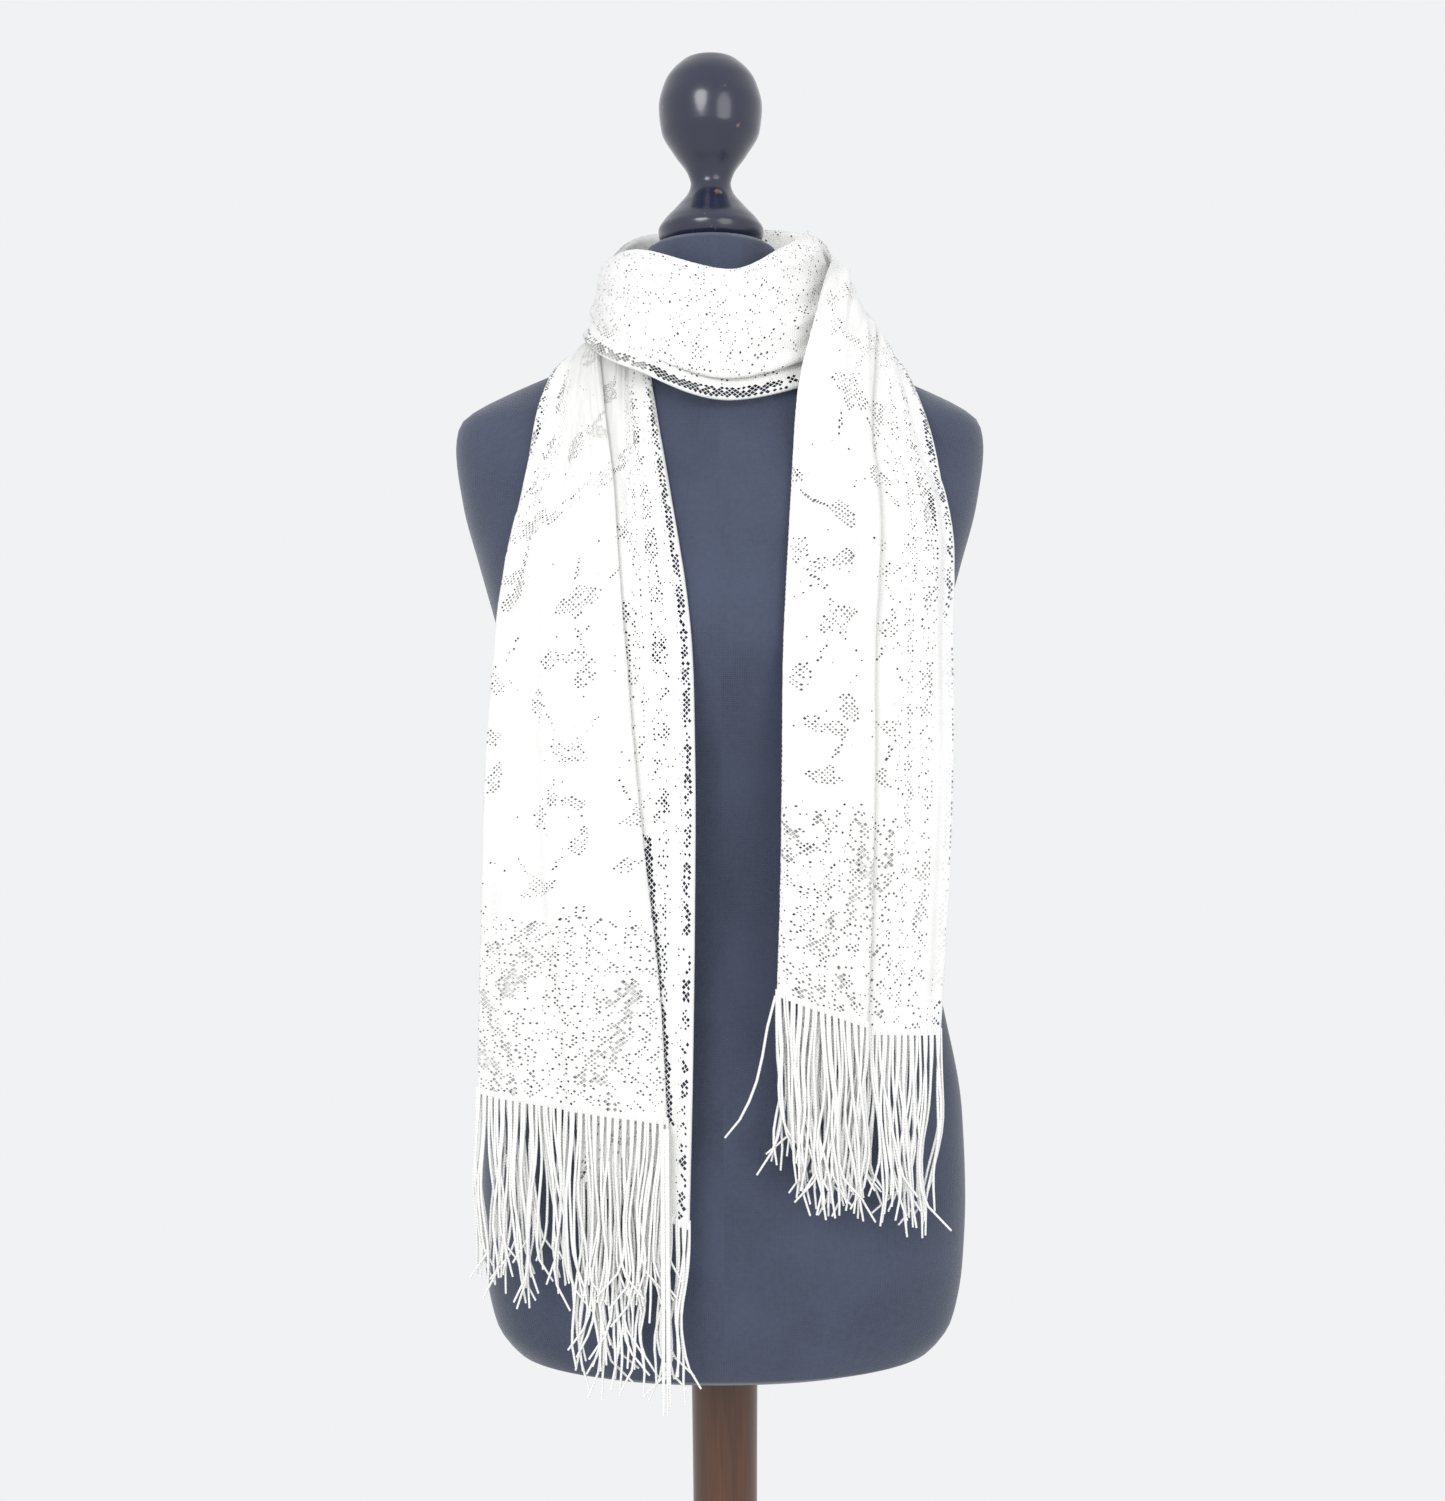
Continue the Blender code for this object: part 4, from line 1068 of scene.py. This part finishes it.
def black_lacquer(colour):
    """Turned beech under thick black gloss lacquer: brush ripples, scuffs, and small chips to the wood."""
    material, tree, shader = new_material("black_lacquered_beech")
    place = node(tree, "ShaderNodeTexCoord").outputs["Object"]
    ripple = node(tree, "ShaderNodeTexNoise", {"Vector": place, "Scale": 60.0, "Detail": 2.0}).outputs["Fac"]
    chips = node(tree, "ShaderNodeTexNoise", {"Vector": place, "Scale": 95.0, "Detail": 5.0}).outputs["Fac"]
    chipped = node(tree, "ShaderNodeValToRGB", {"Fac": chips})
    stops(chipped, (1.0, 1.0, 1.0), (0.70, 0.0), (0.73, 1.0))
    tones = {"Factor": chipped.outputs["Color"], "A": (*colour, 1.0), "B": linear("6E5C4C", 1.0)}
    gloss = node(tree, "ShaderNodeMapRange", {"Value": ripple, "To Min": 0.20, "To Max": 0.34})
    raised = {"Height": ripple, "Strength": 0.25, "Distance": 0.001}
    look = {
        "Base Color": node(tree, "ShaderNodeMix", tones, data_type="RGBA").outputs["Result"],
        "Roughness": gloss.outputs["Result"],
        "Normal": node(tree, "ShaderNodeBump", raised).outputs["Normal"],
        "IOR": 1.5,
        "Coat Weight": 0.5,
        "Coat Roughness": 0.14,
    }
    plug(tree, shader, look)
    return material


def stained_wood(colour):
    """Beech stained dark brown under satin varnish: long fine grain along the post."""
    material, tree, shader = new_material("brown_stained_beech")
    place = node(tree, "ShaderNodeTexCoord").outputs["Object"]
    drawn = node(tree, "ShaderNodeMapping", {"Vector": place, "Scale": (1.0, 1.0, 0.06)}).outputs["Vector"]
    # Grain lines are 1 to 2 mm apart.
    grain = node(tree, "ShaderNodeTexNoise", {"Vector": drawn, "Scale": 420.0, "Detail": 4.0}).outputs["Fac"]
    figure = node(tree, "ShaderNodeTexNoise", {"Vector": drawn, "Scale": 60.0, "Detail": 2.0}).outputs["Fac"]
    both = node(tree, "ShaderNodeMath", {0: grain, 1: 0.6, 2: figure}, operation="MULTIPLY_ADD")
    tone = node(tree, "ShaderNodeValToRGB", {"Fac": both.outputs["Value"]})
    stops(tone, colour, (0.55, 0.55), (1.0, 1.35))
    gloss = node(tree, "ShaderNodeMapRange", {"Value": grain, "To Min": 0.30, "To Max": 0.48})
    raised = {"Height": grain, "Strength": 0.2, "Distance": 0.0005}
    look = {
        "Base Color": tone.outputs["Color"],
        "Roughness": gloss.outputs["Result"],
        "Normal": node(tree, "ShaderNodeBump", raised).outputs["Normal"],
        "Coat Weight": 0.25,
        "Coat Roughness": 0.25,
    }
    plug(tree, shader, look)
    return material


class SHAWL_OT_cloth(bpy.types.Operator):
    """Knit the five stretches of the shawl and lay them on the form"""

    bl_idname = "shawl.cloth"
    bl_label = "Knit the shawl"

    def execute(self, context):
        shawl = context.scene.shawl
        drape = drape_of(shawl)
        finish = knitted_lace(shawl.yarn)
        for name, first, last, rests_on, fringed in STRETCHES:
            piece, area = draped_net(f"lace_{name}", shawl, drape, first, last)
            dressed(piece, finish, "white_lace", name)
        return {"FINISHED"}


def hem_line(drape, end, count):
    """Points along one hem of the draped panel where the strands are looped in, two and two close together."""
    number = np.arange(count)
    across = (number + 0.5 + 0.17 * np.where(number % 2, -1, 1)) / count * drape.width
    along = np.full(count, 0.0 if end == "left" else drape.length)
    return drape.at(across, along)


def strand_path(root, length, bunch, rng, fringe, middle):
    """The wandering path of one strand, from just inside the hem to its tip. Bunched strands drift alike."""
    steps = 13
    phase, second = bunch[1:3] + rng.normal(0, 0.7, 2)
    stray = rng.normal(0, 1.8) if rng.random() < 0.16 else 0
    pull = float(np.clip(bunch[0] + rng.normal(0, 0.40) + stray, -1.8, 1.8)) - (root[0] - middle) / 0.08
    hook = rng.uniform(-1, 1) ** 3 * 0.016
    points = [Vector(root) + Vector((0, 0, 0.004))]
    for k in range(steps):
        way = k / (steps - 1)
        swing = math.sin(phase + way * 6.2) - math.sin(phase)
        ripple = math.sin(second + way * 12) - math.sin(second)
        x = fringe.sway * (0.62 * swing + 0.34 * ripple * way + pull * way) * way**0.5
        x += hook * max(0, way - 0.78) ** 2 * 25
        y = -0.0012 - 0.0020 * math.sin(second + way * 4) * way
        points.append(Vector(root) + Vector((x, y, -length * way)))
    return points


def cord_mesh(name, paths, thickness):
    """One mesh of round cords along these paths."""
    curve = bpy.data.curves.new(name, "CURVE")
    curve.dimensions = "3D"
    curve.bevel_depth = thickness / 2
    curve.bevel_resolution = 0
    curve.use_fill_caps = True
    for path in paths:
        spline = curve.splines.new("NURBS")
        spline.points.add(len(path) - 1)
        for point, place in zip(spline.points, path):
            point.co = (*place, 1.0)
        for point in spline.points[-2:]:
            point.radius = 0.75
        spline.order_u = 3
        spline.use_endpoint_u = True
        spline.resolution_u = 1
    obj = bpy.data.objects.new(name, curve)
    bpy.context.scene.collection.objects.link(obj)
    graph = bpy.context.evaluated_depsgraph_get()
    mesh = bpy.data.meshes.new_from_object(obj.evaluated_get(graph))
    bpy.data.objects.remove(obj)
    bpy.data.curves.remove(curve)
    mesh.name = name
    mesh.shade_smooth()
    return mesh


def long_bunch(rng):
    """The few strands that hang together below the rest, over the second panel."""
    top, low = LONG_BUNCH_HEIGHTS
    paths = []
    for x, share in LONG_BUNCH:
        heights = np.linspace(top, top + (low - top) * share, 12)
        drift = np.cumsum(rng.normal(0, 0.00012, 12))
        paths.append([Vector((x + aside, LONG_BUNCH_DEPTH, z)) for aside, z in zip(drift, heights)])
    return paths


class SHAWL_OT_fringe(bpy.types.Operator):
    """Hang the fringe from both hems"""

    bl_idname = "shawl.fringe"
    bl_label = "Hang the fringe"

    def execute(self, context):
        shawl, fringe = context.scene.shawl, context.scene.fringe
        drape = drape_of(shawl)
        finish = fringe_cord(shawl.yarn)
        rng = np.random.default_rng(7)
        for end, lengths in FRINGES:
            roots = hem_line(drape, end, fringe.strands)
            middle = roots[:, 0].mean()
            paths = []
            for number, root in enumerate(roots):
                if number % 4 == 0:
                    bunch = np.array([rng.normal(0, 0.75), *rng.uniform(0, 2 * math.pi, 2)])
                length = np.interp(root[0], [row[0] for row in lengths], [row[1] for row in lengths])
                paths.append(strand_path(root, length * rng.uniform(0.86, 1.06), bunch, rng, fringe, middle))
            if end == "right":
                paths.append([Vector(place) for place in STRAY_STRAND])
            else:
                paths += long_bunch(rng)
            piece = add_piece(f"cords_{end}", cord_mesh(f"cords_{end}", paths, fringe.thickness))
            dressed(piece, finish, "white_lace", f"fringe_{end}")
        return {"FINISHED"}


def closed_ends(bm):
    """Fills the open rings of a turned or lofted shape and turns its faces outwards."""
    rim = [edge for edge in bm.edges if edge.is_boundary]
    bmesh.ops.holes_fill(bm, edges=rim, sides=0)
    bmesh.ops.recalc_face_normals(bm, faces=bm.faces)


class FORM_OT_torso(bpy.types.Operator):
    """Cover the body of the dress form"""

    bl_idname = "form.torso"
    bl_label = "Cover the torso"

    def execute(self, context):
        low, high = TORSO_SECTIONS[0][1], NECK_TOP
        rim = RIM_REACH * np.arange(1, RIM_ROWS + 1) / RIM_ROWS
        heights = np.sort(np.concatenate([np.linspace(low, high, TORSO_ROWS), low + rim, high - rim]))
        bm = bmesh.new()
        bmesh.ops.create_grid(bm, x_segments=TORSO_SEGMENTS, y_segments=len(heights) - 1, size=0.5)
        number = np.arange(len(bm.verts))
        angle = (number % (TORSO_SEGMENTS + 1)) * 2 * math.pi / TORSO_SEGMENTS
        z = heights[number // (TORSO_SEGMENTS + 1)]
        radius = surface_radius(TORSO_SECTIONS, angle, z)
        middle = neck_lean(z)
        cover = bm.loops.layers.uv.new("cover")
        bm.verts.ensure_lookup_table()
        bm.verts.index_update()
        for face in bm.faces:
            for loop in face.loops:
                index = loop.vert.index
                loop[cover].uv = (angle[index] * 0.125, z[index])
        for index, vert in enumerate(bm.verts):
            a = angle[index]
            vert.co = (middle[index] + radius[index] * math.sin(a), -radius[index] * math.cos(a), z[index])
        bmesh.ops.remove_doubles(bm, verts=bm.verts, dist=1e-6)
        closed_ends(bm)
        torso = smooth_piece("jersey_torso", bm, RIM_ANGLE)
        dressed(torso, black_jersey(context.scene.form.jersey), "black_jersey", "form_torso")
        return {"FINISHED"}


def turned(name, profile, lift=0.0, aside=0.0, steps=96, fineness=0.0012):
    """A turned solid from a profile, rounded between its rows and spun about the upright axis."""
    radii = [row[1] for row in profile]
    levels = [row[2] + lift for row in profile]
    run = np.concatenate([[0], np.cumsum(np.hypot(np.diff(radii), np.diff(levels)))])
    at = np.unique(np.concatenate([run, np.arange(0, run[-1], fineness)]))
    radius, level = steady_curve(run, radii, at), steady_curve(run, levels, at)
    bm = bmesh.new()
    verts = [bm.verts.new((max(r, 0.0), 0.0, z)) for r, z in zip(radius, level)]
    edges = [bm.edges.new(pair) for pair in zip(verts, verts[1:])]
    bmesh.ops.spin(
        bm,
        geom=verts + edges,
        cent=(0, 0, 0),
        axis=(0, 0, 1),
        angle=2 * math.pi,
        steps=steps,
        use_merge=True,
    )
    bmesh.ops.remove_doubles(bm, verts=bm.verts, dist=1e-5)
    bmesh.ops.recalc_face_normals(bm, faces=bm.faces)
    bmesh.ops.translate(bm, verts=bm.verts, vec=(aside, 0, 0))
    return smooth_piece(name, bm, RIM_ANGLE)


class FORM_OT_finial(bpy.types.Operator):
    """Turn the neck knob"""

    bl_idname = "form.finial"
    bl_label = "Turn the knob"

    def execute(self, context):
        knob = turned("lacquered_finial", FINIAL_PROFILE, lift=NECK_TOP + 0.0003, aside=NECK_LEAN)
        dressed(knob, black_lacquer(context.scene.form.lacquer), "black_lacquer", "form_finial")
        return {"FINISHED"}


class FORM_OT_stand(bpy.types.Operator):
    """Turn the post and the round foot"""

    bl_idname = "form.stand"
    bl_label = "Turn the stand"

    def execute(self, context):
        wood = stained_wood(context.scene.form.stain)
        post = turned("turned_post", POST_PROFILE, steps=64, fineness=0.02)
        dressed(post, wood, "brown_wood", "form_post")
        foot = turned("round_foot", FOOT_PROFILE, steps=128, fineness=0.003)
        dressed(foot, wood, "brown_wood", "form_foot")
        return {"FINISHED"}


class STAGE_OT_stage(bpy.types.Operator):
    """Set the floor, the light and the camera"""

    bl_idname = "stage.stage"
    bl_label = "Set the stage"

    def execute(self, context):
        scene, stage = context.scene, context.scene.stage
        self.floor()
        world = bpy.data.worlds.new("pale_studio")
        world.use_nodes = True
        sky = world.node_tree.nodes["Background"]
        sky.inputs["Color"].default_value = linear("F1F2F3", 1.0)
        sky.inputs["Strength"].default_value = 1.0
        scene.world = world
        scene.view_settings.view_transform = "Standard"
        self.light("key_softbox", (-0.9, -2.4, 2.1), 26, 1.2)
        self.light("fill_softbox", (1.3, -2.2, 1.6), 12, 1.4)
        camera = bpy.data.cameras.new("camera")
        camera.sensor_width = 36
        camera.lens = stage.lens
        holder = bpy.data.objects.new("camera", camera)
        scene.collection.objects.link(holder)
        holder.location = (CAMERA_ASIDE, -stage.distance, stage.eye)
        level = Quaternion((1, 0, 0), math.pi / 2)
        holder.rotation_euler = (level @ Quaternion((0, 0, 1), stage.tilt)).to_euler()
        scene.camera = holder
        return {"FINISHED"}

    @staticmethod
    def floor():
        bm = bmesh.new()
        bmesh.ops.create_circle(bm, cap_ends=True, segments=128, radius=1.3)
        bmesh.ops.translate(bm, verts=bm.verts, vec=(0, 0, -0.0005))
        floor = smooth_piece("floor", bm)
        paint, tree, shader = new_material("pale_floor_paint")
        place = node(tree, "ShaderNodeTexCoord")
        grit = node(tree, "ShaderNodeTexNoise", {"Vector": place.outputs["Object"], "Scale": 300.0})
        bump = node(tree, "ShaderNodeBump", {"Height": grit.outputs["Fac"], "Strength": 0.05})
        tree.links.new(bump.outputs["Normal"], shader.inputs["Normal"])
        shader.inputs["Base Color"].default_value = linear("E4E4E2", 1.0)
        shader.inputs["Roughness"].default_value = 0.8
        floor.data.materials.append(paint)

    @staticmethod
    def light(name, place, watts, size):
        lamp = bpy.data.lights.new(name, "AREA")
        lamp.energy = watts
        lamp.shape = "DISK"
        lamp.size = size
        holder = bpy.data.objects.new(name, lamp)
        bpy.context.scene.collection.objects.link(holder)
        holder.location = place
        aim = Vector((0, 0, 1.15)) - Vector(place)
        holder.rotation_euler = aim.to_track_quat("-Z", "Y").to_euler()


class VIEW3D_PT_shawl(bpy.types.Panel):
    """Lists the shawl's settings and steps"""

    bl_idname = "VIEW3D_PT_shawl"
    bl_label = "Lace shawl"
    bl_space_type = "VIEW_3D"
    bl_region_type = "UI"
    bl_category = "Shawl"

    def draw(self, context):
        for group in SETTINGS:
            settings = getattr(context.scene, group)
            for name in settings.__annotations__:
                self.layout.prop(settings, name)
        for step in STEPS:
            self.layout.operator(step.bl_idname)


SETTINGS = {"shawl": ShawlSettings, "fringe": FringeSettings, "form": FormSettings, "stage": StageSettings}
STEPS = (FORM_OT_torso, FORM_OT_finial, FORM_OT_stand, SHAWL_OT_fringe, SHAWL_OT_cloth, STAGE_OT_stage)


def register():
    for group in (*SETTINGS.values(), *STEPS, VIEW3D_PT_shawl):
        bpy.utils.register_class(group)
    for name, group in SETTINGS.items():
        setattr(bpy.types.Scene, name, bpy.props.PointerProperty(type=group))


def unregister():
    for name in SETTINGS:
        delattr(bpy.types.Scene, name)
    for group in reversed((*SETTINGS.values(), *STEPS, VIEW3D_PT_shawl)):
        bpy.utils.unregister_class(group)


def main():
    register()
    bpy.ops.form.torso()
    bpy.ops.form.finial()
    bpy.ops.form.stand()
    bpy.ops.shawl.fringe()
    bpy.ops.shawl.cloth()
    bpy.ops.stage.stage()


if __name__ == "__main__":
    main()
